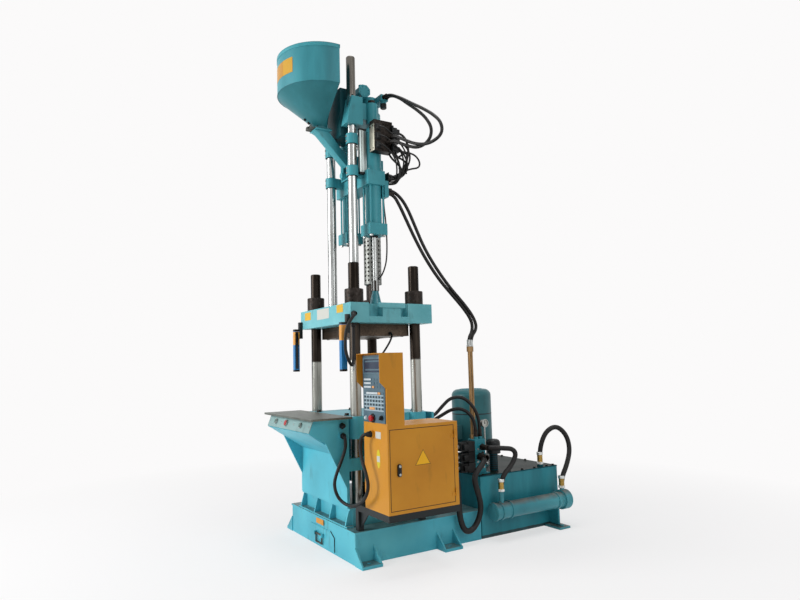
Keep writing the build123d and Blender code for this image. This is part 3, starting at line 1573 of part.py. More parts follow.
# Hoses: each is a tube along straight runs joined by tangent arcs
def corner_radii(points):
    vectors = [Vector(*b) - Vector(*a) for a, b in zip(points, points[1:])]
    radii = []
    for before, after in zip(vectors, vectors[1:]):
        half_turn = math.radians(before.get_angle(after)) / 2
        radii.append(0.45 * min(before.length, after.length) / math.tan(half_turn))
    return radii


def make_hoses(label, routes):
    with BuildPart() as hoses:
        for hose_dia, points in routes:
            radii = corner_radii(points)
            with BuildLine() as path:
                FilletPolyline(*points, radius=radii)
            with BuildSketch(Plane(origin=points[0], z_dir=Vector(*points[1]) - Vector(*points[0]))) as ring:
                Circle(hose_dia / 2)
            sweep(sections=ring.sketch, path=path.wire())
            print(label, "length", round(path.wire().length), "radii", [round(r) for r in radii])
    save(hoses, label)
    section = [math.pi * d**2 / 4 for d, _ in routes]
    print(label, "volume", round(hoses.part.volume), "largest section", round(max(section)))


motor_hose_dia = 24
elbow_x = port_block_x + port_block_w / 2
motor_hose_a = [
    (elbow_x, 118, 3411),
    (258, 118, 3411),
    (385, 150, 3338),
    (500, 168, 3256),
    (625, 188, 3172),
    (740, 205, 3085),
    (825, 215, 2995),
    (830, 212, 2905),
    (710, 185, 2872),
    (590, 150, 2900),
    (485, 100, 2965),
    (415, 70, 3015),
    (box_right, 70, 3015),
]
motor_hose_b = [
    (elbow_x, 145, 3411),
    (250, 145, 3411),
    (340, 172, 3358),
    (440, 180, 3275),
    (550, 190, 3188),
    (650, 205, 3090),
    (710, 212, 2990),
    (690, 200, 2905),
    (595, 165, 2872),
    (500, 108, 2915),
    (420, 52, 2975),
    (box_right, 52, 2975),
]
make_hoses("motor_hoses", [(motor_hose_dia, motor_hose_a), (motor_hose_dia, motor_hose_b)])

supply_dia = 26
supply_face_y = plate_rear + supply_block_t
supply_upper_a = [
    (supply_xs[0], supply_face_y, supply_zs[0]),
    (supply_xs[0], 158, supply_zs[0]),
    (240, 225, 2590),
    (257, 275, 2500),
    (275, 325, 2365),
    (300, 385, 2200),
    (328, 480, 2030),
    (340, 537, 1953),
]
supply_lower_a = [
    (340, 537, 1953),
    (352, 594, 1876),
    (374, 704, 1756),
    (388, 784, 1650),
    (394, 806, 1562),
    (388, 745, 1494),
    (388, 745, 1420),
]
supply_upper_b = [
    (supply_xs[1], supply_face_y, supply_zs[1]),
    (supply_xs[1], 148, supply_zs[1]),
    (260, 198, 2520),
    (268, 250, 2410),
    (280, 312, 2275),
    (300, 390, 2120),
    (330, 492, 1955),
    (342, 551, 1888),
]
supply_lower_b = [
    (342, 551, 1888),
    (354, 610, 1821),
    (372, 705, 1715),
    (378, 772, 1620),
    (385, 765, 1540),
    (402, 712, 1485),
    (402, 712, 1420),
]
make_hoses("supply_hoses_upper", [(supply_dia, supply_upper_a), (supply_dia, supply_upper_b)])
make_hoses("supply_hoses_lower", [(supply_dia, supply_lower_a), (supply_dia, supply_lower_b)])

conduit_dia = 22
cabinet_conduit_route = [
    (body_half_w + gland_l, conduit_start_y, conduit_start_z),
    (440, conduit_start_y, conduit_start_z),
    (448, -397, 775),
    (434, -396, 725),
    (432, -426, 655),
    (432, -464, 574),
    (432, -480, 511),
    (436, -462, 440),
    (462, -432, 394),
    (547, -408, 380),
    (660, -405, 418),
    (745, -408, 474),
    (790, -412, 548),
    (765, -416, 625),
    (715, -418, 700),
    (690, -416, 770),
    (694, -412, 830),
    (conduit_end_x - 20, -402, conduit_end_z),
    (conduit_end_x, -385, conduit_end_z),
    (conduit_end_x, cab_front - gland_l, conduit_end_z),
]
make_hoses("cabinet_conduit", [(conduit_dia, cabinet_conduit_route)])

manifold_face_x = manifold_x + manifold_w / 2 + fitting_l
fitting_top_z = manifold_top_z + fitting_l
housing_rear_y = -body_front
return_dia = 42
cooler_hose_dia = 36
return_hose = [
    (manifold_face_x, manifold_y - 25, return_port_z),
    (540, manifold_y - 25, return_port_z),
    (578, 678, 560),
    (590, 620, 520),
    (592, 570, 470),
    (596, 578, 400),
    (600, 602, 325),
    (604, 615, 245),
    (604, 588, 160),
    (602, 530, 96),
    (600, 466, 96),
    (597, 432, 165),
    (592, 422, 265),
    (585, 428, 370),
    (550, 450, 450),
    (480, 470, 500),
    (400, 460, 508),
    (330, 432, 505),
    (330, housing_rear_y, 505),
]
cooler_hose = [
    (manifold_face_x, manifold_y, cooler_port_z),
    (540, manifold_y, cooler_port_z),
    (590, 790, 652),
    (618, 845, 648),
    (648, 900, 642),
    (655, 928, 600),
    (650, 885, 525),
    (cooler_x, cooler_front + 88, 440),
    (cooler_x, cooler_front + 88, cooler_z + cooler_dia / 2 + 78),
]
tank_loop = [
    (cooler_x, cooler_rear - 50, cooler_z + cooler_dia / 2 + 28),
    (cooler_x, cooler_rear - 50, 365),
    (640, 1470, 465),
    (630, 1525, 585),
    (608, 1510, 700),
    (580, 1435, 770),
    (552, 1355, 735),
    (530, 1315, 655),
    (loop_x, loop_y, 560),
    (loop_x, loop_y, tank_top + fitting_l),
]
clamp_hose_a = [
    (300, housing_rear_y, 890),
    (300, 425, 890),
    (325, 490, 965),
    (352, 555, 1030),
    (395, 635, 1035),
    (435, 695, 975),
    (444, 742, 890),
    (445, 755, 810),
    (445, 755, fitting_top_z),
]
clamp_hose_b = [
    (255, housing_rear_y, 850),
    (255, 425, 850),
    (288, 500, 890),
    (335, 570, 940),
    (390, 635, 945),
    (433, 685, 895),
    (445, 715, 820),
    (445, 715, fitting_top_z),
]
make_hoses(
    "hydraulic_hoses",
    [
        (return_dia, return_hose),
        (cooler_hose_dia, cooler_hose),
        (38, tank_loop),
        (supply_dia, clamp_hose_a),
        (supply_dia, clamp_hose_b),
    ],
)

curtain_cable = [
    (platen_w / 2, -318, 1655),
    (480, -318, 1655),
    (488, -352, 1625),
    (480, -388, 1565),
    (472, -400, 1490),
    (468, -398, 1400),
    (472, -374, 1325),
    (448, -335, 1290),
    (422, -310, 1340),
    (404, -300, 1430),
    (404, -300, platen_z),
]
mould_cable = [
    (mould_plate_w / 2, 50, 1525),
    (352, 50, 1525),
    (402, 0, 1465),
    (448, -85, 1385),
    (500, -175, 1315),
    (565, -265, 1270),
    (cab_left, -265, 1270),
]
make_hoses("platen_cables", [(22, curtain_cable), (14, mould_cable)])

heater_cable_route = [
    (110, 140, carriage_z),
    (110, 140, 2560),
    (114, 152, 2450),
    (116, 158, 2330),
    (114, 160, 2200),
    (110, 152, 2090),
    (103, 120, 2000),
    (100, inj_y, 1968),
    (guard_dia / 2, inj_y, 1968),
]
make_hoses("heater_cable", [(12, heater_cable_route)])
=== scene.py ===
import math

import bmesh
import bpy
from mathutils import Matrix, Vector


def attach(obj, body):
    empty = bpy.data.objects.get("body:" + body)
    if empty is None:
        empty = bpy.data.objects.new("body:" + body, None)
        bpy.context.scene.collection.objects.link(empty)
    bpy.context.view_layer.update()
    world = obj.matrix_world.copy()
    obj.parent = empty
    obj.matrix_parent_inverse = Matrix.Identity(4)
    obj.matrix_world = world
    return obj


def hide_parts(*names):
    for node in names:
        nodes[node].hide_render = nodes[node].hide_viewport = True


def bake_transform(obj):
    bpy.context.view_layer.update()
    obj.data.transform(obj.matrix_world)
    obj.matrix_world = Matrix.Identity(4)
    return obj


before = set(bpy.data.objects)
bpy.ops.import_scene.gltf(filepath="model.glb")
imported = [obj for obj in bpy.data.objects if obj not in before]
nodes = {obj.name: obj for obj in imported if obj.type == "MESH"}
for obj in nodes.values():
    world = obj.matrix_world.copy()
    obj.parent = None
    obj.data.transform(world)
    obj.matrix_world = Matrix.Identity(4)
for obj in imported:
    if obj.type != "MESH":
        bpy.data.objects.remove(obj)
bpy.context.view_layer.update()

# Metres, in the CAD frame: X to the operator's right, Y to the rear, Z up, floor at zero.
scene = bpy.context.scene


# Materials
def linear(colour):
    """An sRGB hex colour as linear red, green, blue and alpha."""
    channels = [int(colour[i : i + 2], 16) / 255 for i in (1, 3, 5)]
    return (*[c / 12.92 if c <= 0.04045 else ((c + 0.055) / 1.055) ** 2.4 for c in channels], 1)


def add(tree, kind, inputs=(), out=0, **settings):
    """Adds a shader node with its settings, fills or links its inputs, and returns one output."""
    made = tree.nodes.new("ShaderNode" + kind)
    for name, value in settings.items():
        setattr(made, name, value)
    for key, value in dict(inputs).items():
        if isinstance(value, bpy.types.NodeSocket):
            tree.links.new(value, made.inputs[key])
        else:
            made.inputs[key].default_value = value
    return made.outputs[out]


def ramp(tree, value, *stops):
    """A colour ramp over a value: each stop is a position and a hex colour."""
    made = tree.nodes.new("ShaderNodeValToRGB")
    tree.links.new(value, made.inputs[0])
    steps = made.color_ramp.elements
    while len(steps) < len(stops):
        steps.new(0.5)
    for step, (position, colour) in zip(steps, stops):
        step.position = position
        step.color = linear(colour)
    return made.outputs[0]


def finish(name, colour, roughness, metallic=0.0, **extra):
    """A named material with its shader's constants set. Returns material, tree, shader and Object coordinates."""
    material = bpy.data.materials.new(name)
    material.use_nodes = True
    tree = material.node_tree
    shader = tree.nodes["Principled BSDF"]
    shader.inputs["Base Color"].default_value = linear(colour)
    shader.inputs["Roughness"].default_value = roughness
    shader.inputs["Metallic"].default_value = metallic
    for key, value in extra.items():
        shader.inputs[key.replace("_", " ")].default_value = value
    return material, tree, shader, add(tree, "TexCoord", out=3)


def noise(tree, place, size, detail=3.0, stretch=(1, 1, 1)):
    """Noise whose features are about `size` metres across, drawn out along an axis where stretch is below 1."""
    moved = add(tree, "Mapping", {"Vector": place, "Scale": stretch}) if stretch != (1, 1, 1) else place
    return add(tree, "TexNoise", {"Vector": moved, "Scale": 0.5 / size, "Detail": detail})


def bump(tree, shader, height, depth, strength=1.0):
    """Relief of `depth` metres from a height field."""
    made = add(tree, "Bump", {"Height": height, "Distance": depth, "Strength": strength})
    tree.links.new(made, shader.inputs["Normal"])


def roughen(tree, shader, value, low, high):
    """Roughness between low and high by a 0 to 1 value."""
    made = add(tree, "MapRange", {"Value": value, "To Min": low, "To Max": high})
    tree.links.new(made, shader.inputs["Roughness"])


def enamel(name, pale, body, deep, grime="#2c3a36", gloss=0.28):
    """Machine enamel, sprayed over filled castings and plate: satin gloss, faint orange peel, drifts of
    paler chalked paint, and oily dust that gathers in blotches."""
    material, tree, shader, place = finish(name, body, 0.42, Specular_IOR_Level=gloss)
    cloud = noise(tree, place, 0.22, 5)
    colour = ramp(tree, cloud, (0.28, deep), (0.5, body), (0.75, pale))
    stain = noise(tree, place, 0.035, 8, (1, 1, 0.35))
    speck = add(tree, "MapRange", {"Value": stain, "From Min": 0.6, "From Max": 0.78, "To Max": 0.45})
    mixed = add(tree, "MixRGB", {"Fac": speck, "Color1": colour, "Color2": linear(grime)})
    tree.links.new(mixed, shader.inputs["Base Color"])
    roughen(tree, shader, cloud, 0.32, 0.5)
    bump(tree, shader, noise(tree, place, 0.004, 2), 0.0006, 0.35)
    return material


def bare_metal(name, bright, dark, rough, spread=0.18, drawn=(1, 1, 0.02), grain=0.002, relief=0.3):
    """Machined or ground metal: fine tool marks drawn along one axis, and clouds of handling marks."""
    material, tree, shader, place = finish(name, bright, rough, 1.0)
    marks = noise(tree, place, grain, 4, drawn)
    cloud = noise(tree, place, 0.09, 6)
    both = add(tree, "Math", {0: marks, 1: cloud}, operation="MULTIPLY")
    tree.links.new(ramp(tree, both, (0.08, dark), (0.34, bright)), shader.inputs["Base Color"])
    roughen(tree, shader, cloud, max(0.05, rough - spread / 2), rough + spread)
    if relief:
        bump(tree, shader, marks, 0.0002, relief)
    return material


def moulded(name, colour, roughness, texture=0.0012):
    """Injection moulded plastic with a fine spark-eroded texture."""
    material, tree, shader, place = finish(name, colour, roughness, Specular_IOR_Level=0.3)
    grain = noise(tree, place, texture, 2)
    cloud = noise(tree, place, 0.03, 4)
    roughen(tree, shader, cloud, roughness - 0.06, roughness + 0.1)
    bump(tree, shader, grain, 0.0003, 0.4)
    return material


def banded_by_height(material, edge, blur, low, high):
    """Below `edge` metres the colour ramp `low` is used and above it `high`, with a ragged border."""
    tree = material.node_tree
    shader = tree.nodes["Principled BSDF"]
    place = add(tree, "TexCoord", out=3)
    height = add(tree, "SeparateXYZ", {0: place}, out=2)
    ragged = add(tree, "Math", {0: noise(tree, place, 0.02, 5), 1: blur}, operation="MULTIPLY")
    raised = add(tree, "Math", {0: height, 1: ragged}, operation="ADD")
    above = add(tree, "MapRange", {"Value": raised, "From Min": edge, "From Max": edge + blur * 0.6})
    cloud = noise(tree, place, 0.05, 7, (1, 1, 0.2))
    mixed = add(tree, "MixRGB", {"Fac": above, "Color1": ramp(tree, cloud, *low), "Color2": ramp(tree, cloud, *high)})
    tree.links.new(mixed, shader.inputs["Base Color"])
    return above


def settled(material, tones, low, high, most):
    """Dust and oil on faces that look up: it starts where the normal's height is `low` and is full at `high`."""
    tree = material.node_tree
    shader = tree.nodes["Principled BSDF"]
    paint = shader.inputs["Base Color"].links[0].from_socket
    place = add(tree, "TexCoord", out=3)
    upward = add(tree, "SeparateXYZ", {0: add(tree, "TexCoord", out=1)}, out=2)
    ragged = add(tree, "Math", {0: noise(tree, place, 0.018, 7), 1: 0.35}, operation="MULTIPLY")
    level = add(tree, "Math", {0: upward, 1: ragged}, operation="ADD")
    cover = add(tree, "MapRange", {"Value": level, "From Min": low + 0.17, "From Max": high + 0.17, "To Max": most})
    film = ramp(tree, noise(tree, place, 0.04, 8), *tones)
    mixed = add(tree, "MixRGB", {"Fac": cover, "Color1": paint, "Color2": film})
    tree.links.new(mixed, shader.inputs["Base Color"])


def tones(colours, at=(0.3, 0.55, 0.8)):
    """Stops of a colour ramp from dark to bright: hex colours in a row, and where each one stands."""
    return list(zip(at, colours.split()))


# Teal machine enamel as each unit was sprayed: bright low down, deeper on the motor and the tank. The upper unit
# and the hopper take deeper copies of the same enamel as painted shade, for the lower light up under the roof
base_enamel = enamel("teal_machine_enamel", "#66c8d6", "#52b6c8", "#43a3b4")
upper_shaded_enamel = enamel("deep_teal_enamel_painted_shade", "#5fb0b9", "#459ca6", "#358993")
hopper_painted_shade_enamel = enamel("hopper_painted_shade_enamel", "#4aa0a9", "#3f909b", "#37838d")
# The hopper's cone, below its seam at 3.374 m, is darker still: painted shade
banded_by_height(hopper_painted_shade_enamel, 3.374, 0.004, tones("#276e76 #2b747c #33808a"), tones("#37838d #3f909b #4aa0a9"))
tank_enamel = enamel("tank_enamel", "#3a9aa7", "#2f8b98", "#277b87")
# Below 26 mm the tank is painted dark: painted shade where it stands on the floor
banded_by_height(tank_enamel, 0.026, 0.012, tones("#1e2a2b #2c4a4e #33616a"), tones("#277b87 #2f8b98 #3a9aa7"))
valve_enamel = enamel("valve_block_enamel", "#3a9aa7", "#2f8b98", "#277b87")
motor_enamel = enamel("motor_enamel", "#367278", "#2b6469", "#235559")
# Deep teal of the thrust block's sheet: painted shade, for the crosshead's front in deep shadow
shade_cover_enamel = enamel("dark_teal_painted_shade_enamel", "#1a5960", "#12464c", "#0d3a40", gloss=0.08)
platen_enamel = enamel("chalked_teal_enamel", "#8fd0d6", "#6fb9c1", "#55a3ab")
apron_enamel = enamel("greyed_apron_enamel", "#93b3b2", "#86a8a7", "#7a9b9b")
# Ledges of the base, the cooler and the tank's lid: the same enamel under dust and oil settled on what faces up
ledge_enamel = enamel("dusty_base_enamel", "#66c8d6", "#52b6c8", "#43a3b4")
settled(ledge_enamel, tones("#3c4644 #5d6b68 #7f9c9d", (0.3, 0.55, 0.85)), 0.7, 0.97, 0.85)
cooler_enamel = enamel("cooler_enamel", "#55a5af", "#44909b", "#387f8a")
settled(cooler_enamel, tones("#4b3f38 #6d5d52 #7f7266", (0.3, 0.6, 0.85)), 0.45, 0.95, 0.8)
lid_enamel = enamel("oily_lid_enamel", "#2a6f78", "#205862", "#1b4a52", gloss=0.04)
settled(lid_enamel, tones("#0b120f #15211c #22352f", (0.3, 0.6, 0.85)), 0.6, 0.9, 0.98)

# Ochre powder coat on folded sheet: soft gloss, very fine peel, hardly any marks
ochre_coat = enamel("ochre_powder_coat", "#d4942c", "#cc8a24", "#c07f1e", "#8f6822")
# Nearly black paints: the cabinet's chassis, and stove enamel on valves, breather and brackets
shadow_paint = enamel("dark_chassis_paint", "#1e2527", "#171d1e", "#111516", "#0d1010")
black_paint = enamel("black_stove_enamel", "#25292a", "#1b1e1f", "#141617", "#0f1010")

# Hard chromed rods: ground round the bar, mirror bright with grey oil bands
rod_chrome = bare_metal("hard_chrome_rod", "#b6b8b6", "#6d6f6c", 0.2, 0.08, (12, 12, 0.3), 0.05, 0)
chrome = tones("#7d7f7d #a8abaa #c4c6c4", (0.3, 0.5, 0.8))
banded_by_height(rod_chrome, 3.36, 0.05, chrome, tones("#45413d #6f6b65 #98948c"))
# Tie bars: chromed where they slide, black oiled steel where they pass the platen
bar_steel = bare_metal("tie_bar_steel", "#a3a5a2", "#4d4e4a", 0.26, 0.1, (12, 12, 0.3), 0.05, 0)
banded_by_height(
    bar_steel, 1.335, 0.02,
    tones("#575853 #94958f #b9bab5", (0.25, 0.5, 0.8)), tones("#14110e #2a2521 #4a423a", (0.3, 0.55, 0.85)),
)
# Lower rod of the seat cylinders: enamelled foot and nut, chromed rod above
seat_finish = bare_metal("seat_rod_finish", "#a8abaa", "#6d6f6c", 0.22, 0.08, (12, 12, 0.3), 0.05, 0)
chromed = banded_by_height(seat_finish, 1.853, 0.003, tones("#2c7f8a #3a909b #4aa0a9"), chrome)
seat_finish.node_tree.links.new(chromed, seat_finish.node_tree.nodes["Principled BSDF"].inputs["Metallic"])

# Black oxide on turned steel: nearly black, oily, brown where it is thin
oxide_steel = bare_metal("black_oxide_steel", "#3a3532", "#15120f", 0.42, 0.2, (1, 1, 1), 0.01)
# Rolled and ground plate of the mould mounting: dark with a brown oil film
mould_steel = bare_metal("oiled_ground_plate", "#5e5146", "#241e1a", 0.42, 0.2, (0.03, 1, 1), 0.003)
# Work table: ground mild steel gone grey, scuffed by moulds that slide over it
table_steel = bare_metal("worn_ground_table", "#787d77", "#3c403b", 0.42, 0.22, (0.05, 1, 1), 0.004)
# Zinc plated fasteners and brackets: bright bluish, satin
zinc_steel = bare_metal("zinc_plated_steel", "#b9bcbb", "#83867f", 0.34, 0.15, (1, 1, 1), 0.006)
# Bright zinc of the new nuts at the cooler, nearly white
pale_zinc = bare_metal("bright_zinc_nut", "#e4e6e4", "#b4b8b6", 0.4, 0.15, (1, 1, 1), 0.006)
# The gate's tab and the cover's drop handle: zinc gone dull with handling, and darkened as painted shade where the
# gate's tab sits in the shadow under the cone
dull_and_shaded_zinc = bare_metal("dull_zinc_sheet_and_painted_shade", "#5c5e5a", "#34352f", 0.45, 0.2, (1, 1, 1), 0.01)
# Perforated sheet of the barrel guard
guard_sheet = bare_metal("perforated_guard_sheet", "#8c8e8b", "#51534d", 0.44, 0.18, (1, 1, 1), 0.008)
# Brushed anodised aluminium of the position sensor
brushed_aluminium = bare_metal("brushed_anodised_aluminium", "#b9c4c2", "#8d9a98", 0.38, 0.15, (0.02, 1, 1), 0.0015)
# Cabinet side of the injection valves: pale anodised cover plate
cover_plate = bare_metal("pale_anodised_plate", "#b8b3a4", "#8f8b7d", 0.4, 0.15)
# Cold drawn hydraulic tube with yellow passivate, tan and streaky
passivated_tube = bare_metal("yellow_passivated_tube", "#a08058", "#55412a", 0.36, 0.18, (1, 1, 0.05), 0.004)
# Turned brass ports and nuts
brass = bare_metal("turned_brass", "#c6a45a", "#7f6432", 0.3, 0.15, (1, 1, 1), 0.003)

# Moulded plastics: polyamide of glands, plugs and coils, polycarbonate of the switchgear, buttons and keys
black_plastic = moulded("black_moulded_polyamide", "#121212", 0.48)
grey_plastic = moulded("grey_moulded_polycarbonate", "#7d8687", 0.4)
red_plastic = moulded("red_moulded_button", "#b3171c", 0.28)
green_plastic = moulded("muted_green_moulded_button", "#5d7d75", 0.34)
seal_rubber = moulded("extruded_seal_rubber", "#1c1a18", 0.6)
pale_key = moulded("pale_moulded_key", "#c3ccd0", 0.4)
key_field = moulded("pale_key_field_print", "#9fb2bb", 0.36)
dark_key = moulded("dark_moulded_key", "#2e3c42", 0.4)
peach_key = moulded("peach_moulded_key", "#dd9f63", 0.4)
# Plain vinyl films in the colours of the stickers; the gold is a darker copy of the hopper's sticker, as painted shade
yellow_film = moulded("yellow_vinyl_film", "#dcae2c", 0.38)
amber_film = moulded("amber_vinyl_film", "#cb9a28", 0.34)
signal_film = moulded("signal_vinyl_film", "#f2b41c", 0.38)
lemon_film = moulded("lemon_vinyl_film", "#d9c62c", 0.38)
orange_film = moulded("orange_vinyl_film", "#d9912e", 0.38)
gold_film_painted_shade = moulded("gold_vinyl_film_painted_shade", "#bd8628", 0.34)
pale_film = moulded("pale_vinyl_film", "#cbcbc3", 0.38)
sand_film = moulded("sand_vinyl_film", "#dd9c4a", 0.38)
# Windows: dark blue polycarbonate over the display, its printed bezel, the curtains' lens and the oil sight glass
screen_glass = moulded("tinted_display_window", "#27354a", 0.3)
screen_band = moulded("display_bezel_print", "#4e6673", 0.3)
lens_window = moulded("tinted_lens_window", "#0f1a26", 0.12)
oil_glass = moulded("oil_sight_glass", "#8a6a2c", 0.1)


def tinted(material, value, *stops):
    """Colours a whole material by a ramp over a value."""
    tree = material.node_tree
    tree.links.new(ramp(tree, value, *stops), tree.nodes["Principled BSDF"].inputs["Base Color"])


# Rubber hose cover, extruded over a braid and wrapped while it cures: dull sheen, dust on top
hose_rubber, tree, shader, place = finish("wrapped_hose_rubber", "#151413", 0.5, Specular_IOR_Level=0.3)
dust = noise(tree, place, 0.05, 6)
tinted(hose_rubber, dust, (0.35, "#0c0b0b"), (0.62, "#181615"), (0.85, "#2f2b28"))
roughen(tree, shader, dust, 0.4, 0.62)
bump(tree, shader, noise(tree, place, 0.003, 2), 0.0008, 0.4)

# Blue anodised extrusion of the light curtains
curtain_blue, tree, shader, place = finish("blue_anodised_extrusion", "#1f7fc0", 0.34, 0.35)
drawn = noise(tree, place, 0.002, 3, (1, 1, 0.02))
tinted(curtain_blue, drawn, (0.3, "#1769a8"), (0.7, "#2b92d2"))
bump(tree, shader, drawn, 0.0002, 0.3)

# Screen-printed control overlay: polyester film, grey blue with an eggshell emboss
overlay_film, tree, shader, place = finish("grey_blue_membrane_overlay", "#4c6674", 0.36, Specular_IOR_Level=0.3)
tinted(overlay_film, noise(tree, place, 0.05, 3), (0.3, "#455e6b"), (0.7, "#55707d"))
bump(tree, shader, noise(tree, place, 0.0015, 2), 0.0002, 0.4)

# The material of each CAD node
for material, names in (
    (ledge_enamel, "base_frame pedestal"),
    (base_enamel, "access_cover front_housing rear_housing fixed_platen"),
    (apron_enamel, "button_panel"),
    (tank_enamel, "clamp_cylinder oil_tank"),
    (lid_enamel, "tank_lid"),
    (motor_enamel, "electric_motor"),
    (valve_enamel, "valve_manifold"),
    (cooler_enamel, "oil_cooler"),
    (platen_enamel, "upper_platen"),
    (upper_shaded_enamel, "carriage seat_cylinders feed_chute injection_cylinders screw_crosshead hydraulic_motor"),
    (hopper_painted_shade_enamel, "hopper hopper_lid"),
    (ochre_coat, "cabinet_shell cabinet_door tower_housing"),
    (shadow_paint, "cabinet_frame"),
    (overlay_film, "control_face"),
    (table_steel, "table_plate"),
    (mould_steel, "mould_plate"),
    (bar_steel, "tie_bars"),
    (rod_chrome, "guide_rods screw"),
    (seat_finish, "seat_rods"),
    (oxide_steel, "tie_bar_nuts clamp_crosshead barrel injection_manifold"),
    (zinc_steel, "pressure_gauge barrel_guard"),
    (dull_and_shaded_zinc, "access_handle hopper_gate"),
    (brushed_aluminium, "position_sensor"),
    (passivated_tube, "steel_pipes"),
    (curtain_blue, "light_curtains"),
    (black_plastic, "door_lock mode_selector solenoid_valves gauge_needle"),
    (grey_plastic, "switchgear"),
    (red_plastic, "stop_button emergency_stop"),
    (green_plastic, "start_button_left start_button_right"),
):
    for node_name in names.split():
        nodes[node_name].data.materials.clear()
        nodes[node_name].data.materials.append(material)

# Directions and bodies that many pieces share
UP, DOWN, RIGHT, LEFT, FRONT, REAR = (0, 0, 1), (0, 0, -1), (1, 0, 0), (-1, 0, 0), (0, -1, 0), (0, 1, 0)
BASE, CLAMP, CARRIAGE, CROSSHEAD = "base", "clamp_unit", "injection_carriage", "injection_crosshead"
SIDES = (-1, 1)
# Where the machine's main parts stand
MOTOR = (0.14, 0.92)
COOLER = (0.64, 0.206)
BARREL_Y, HOPPER_Y, GUIDE_Y = 0.09, -0.345, -0.173
SEAT_X, GUIDE_X, CURTAIN_X = 0.197, 0.187, 0.423
# Edges that bend by less than this many radians shade smooth
SMOOTH_BELOW = 0.6


def piece(name, shape, body, material):
    """Closes a bmesh into a piece that rides on a body."""
    mesh = bpy.data.meshes.new(name)
    shape.to_mesh(mesh)
    shape.free()
    mesh.shade_smooth()
    mesh.set_sharp_from_angle(angle=SMOOTH_BELOW)
    made = bpy.data.objects.new(name, mesh)
    scene.collection.objects.link(made)
    mesh.materials.append(material)
    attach(made, body)
    return made


# Hoses and cables, each along its own route
def in_metres(*points):
    return [tuple(value / 1000 for value in point) for point in points]


def spline(name, points, width):
    """A smooth curve with the route's points as its control points."""
    line = bpy.data.curves.new(name, "CURVE")
    line.dimensions = "3D"
    line.resolution_u = 10
    run = line.splines.new("NURBS")
    run.points.add(len(points) - 1)
    for point, place_of in zip(run.points, points):
        point.co = (*place_of, 1)
    run.order_u = 3
    run.use_endpoint_u = True
    made = bpy.data.objects.new(name, line)
    scene.collection.objects.link(made)
    line.bevel_depth = width / 2
    line.bevel_resolution = 5
    line.use_fill_caps = True
    return made


def centre_line(made):
    """The points that a curve follows, read from the curve with no thickness."""
    depth = made.data.bevel_depth
    made.data.bevel_depth = 0
    line = bpy.data.meshes.new_from_object(made)
    made.data.bevel_depth = depth
    points = [tuple(v.co) for v in line.vertices]
    bpy.data.meshes.remove(line)
    return points


def hose(name, node, carrier, width, points):
    """A hose or cable that leaves the object at its first point and goes back into it at its last. Its carrier is
    a body that it rides on, or two bodies with two places, which makes it a mesh tube fixed where it stands."""
    made = spline(name, points, width)
    line = centre_line(made)
    bends = isinstance(carrier, tuple)
    if bends:
        tube = bpy.data.objects.new(name + "_tube", bpy.data.meshes.new_from_object(made))
        scene.collection.objects.link(tube)
        bpy.data.objects.remove(made)
        tube.name = name
        made = tube
        made.data.shade_smooth()
    made.data.materials.clear()
    made.data.materials.append(hose_rubber)
    if bends:
        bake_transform(made)
    else:
        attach(made, carrier)
    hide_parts(node)


def bend(low_body, high_body, low_z, high_z):
    """Between two bodies, from one height to another."""
    return low_body, high_body, (0, 0, low_z), (0, 0, high_z)


motor_bend = (CARRIAGE, CROSSHEAD, (0.4, 0.1, 3.03), (0.4, 0.1, 3.4))
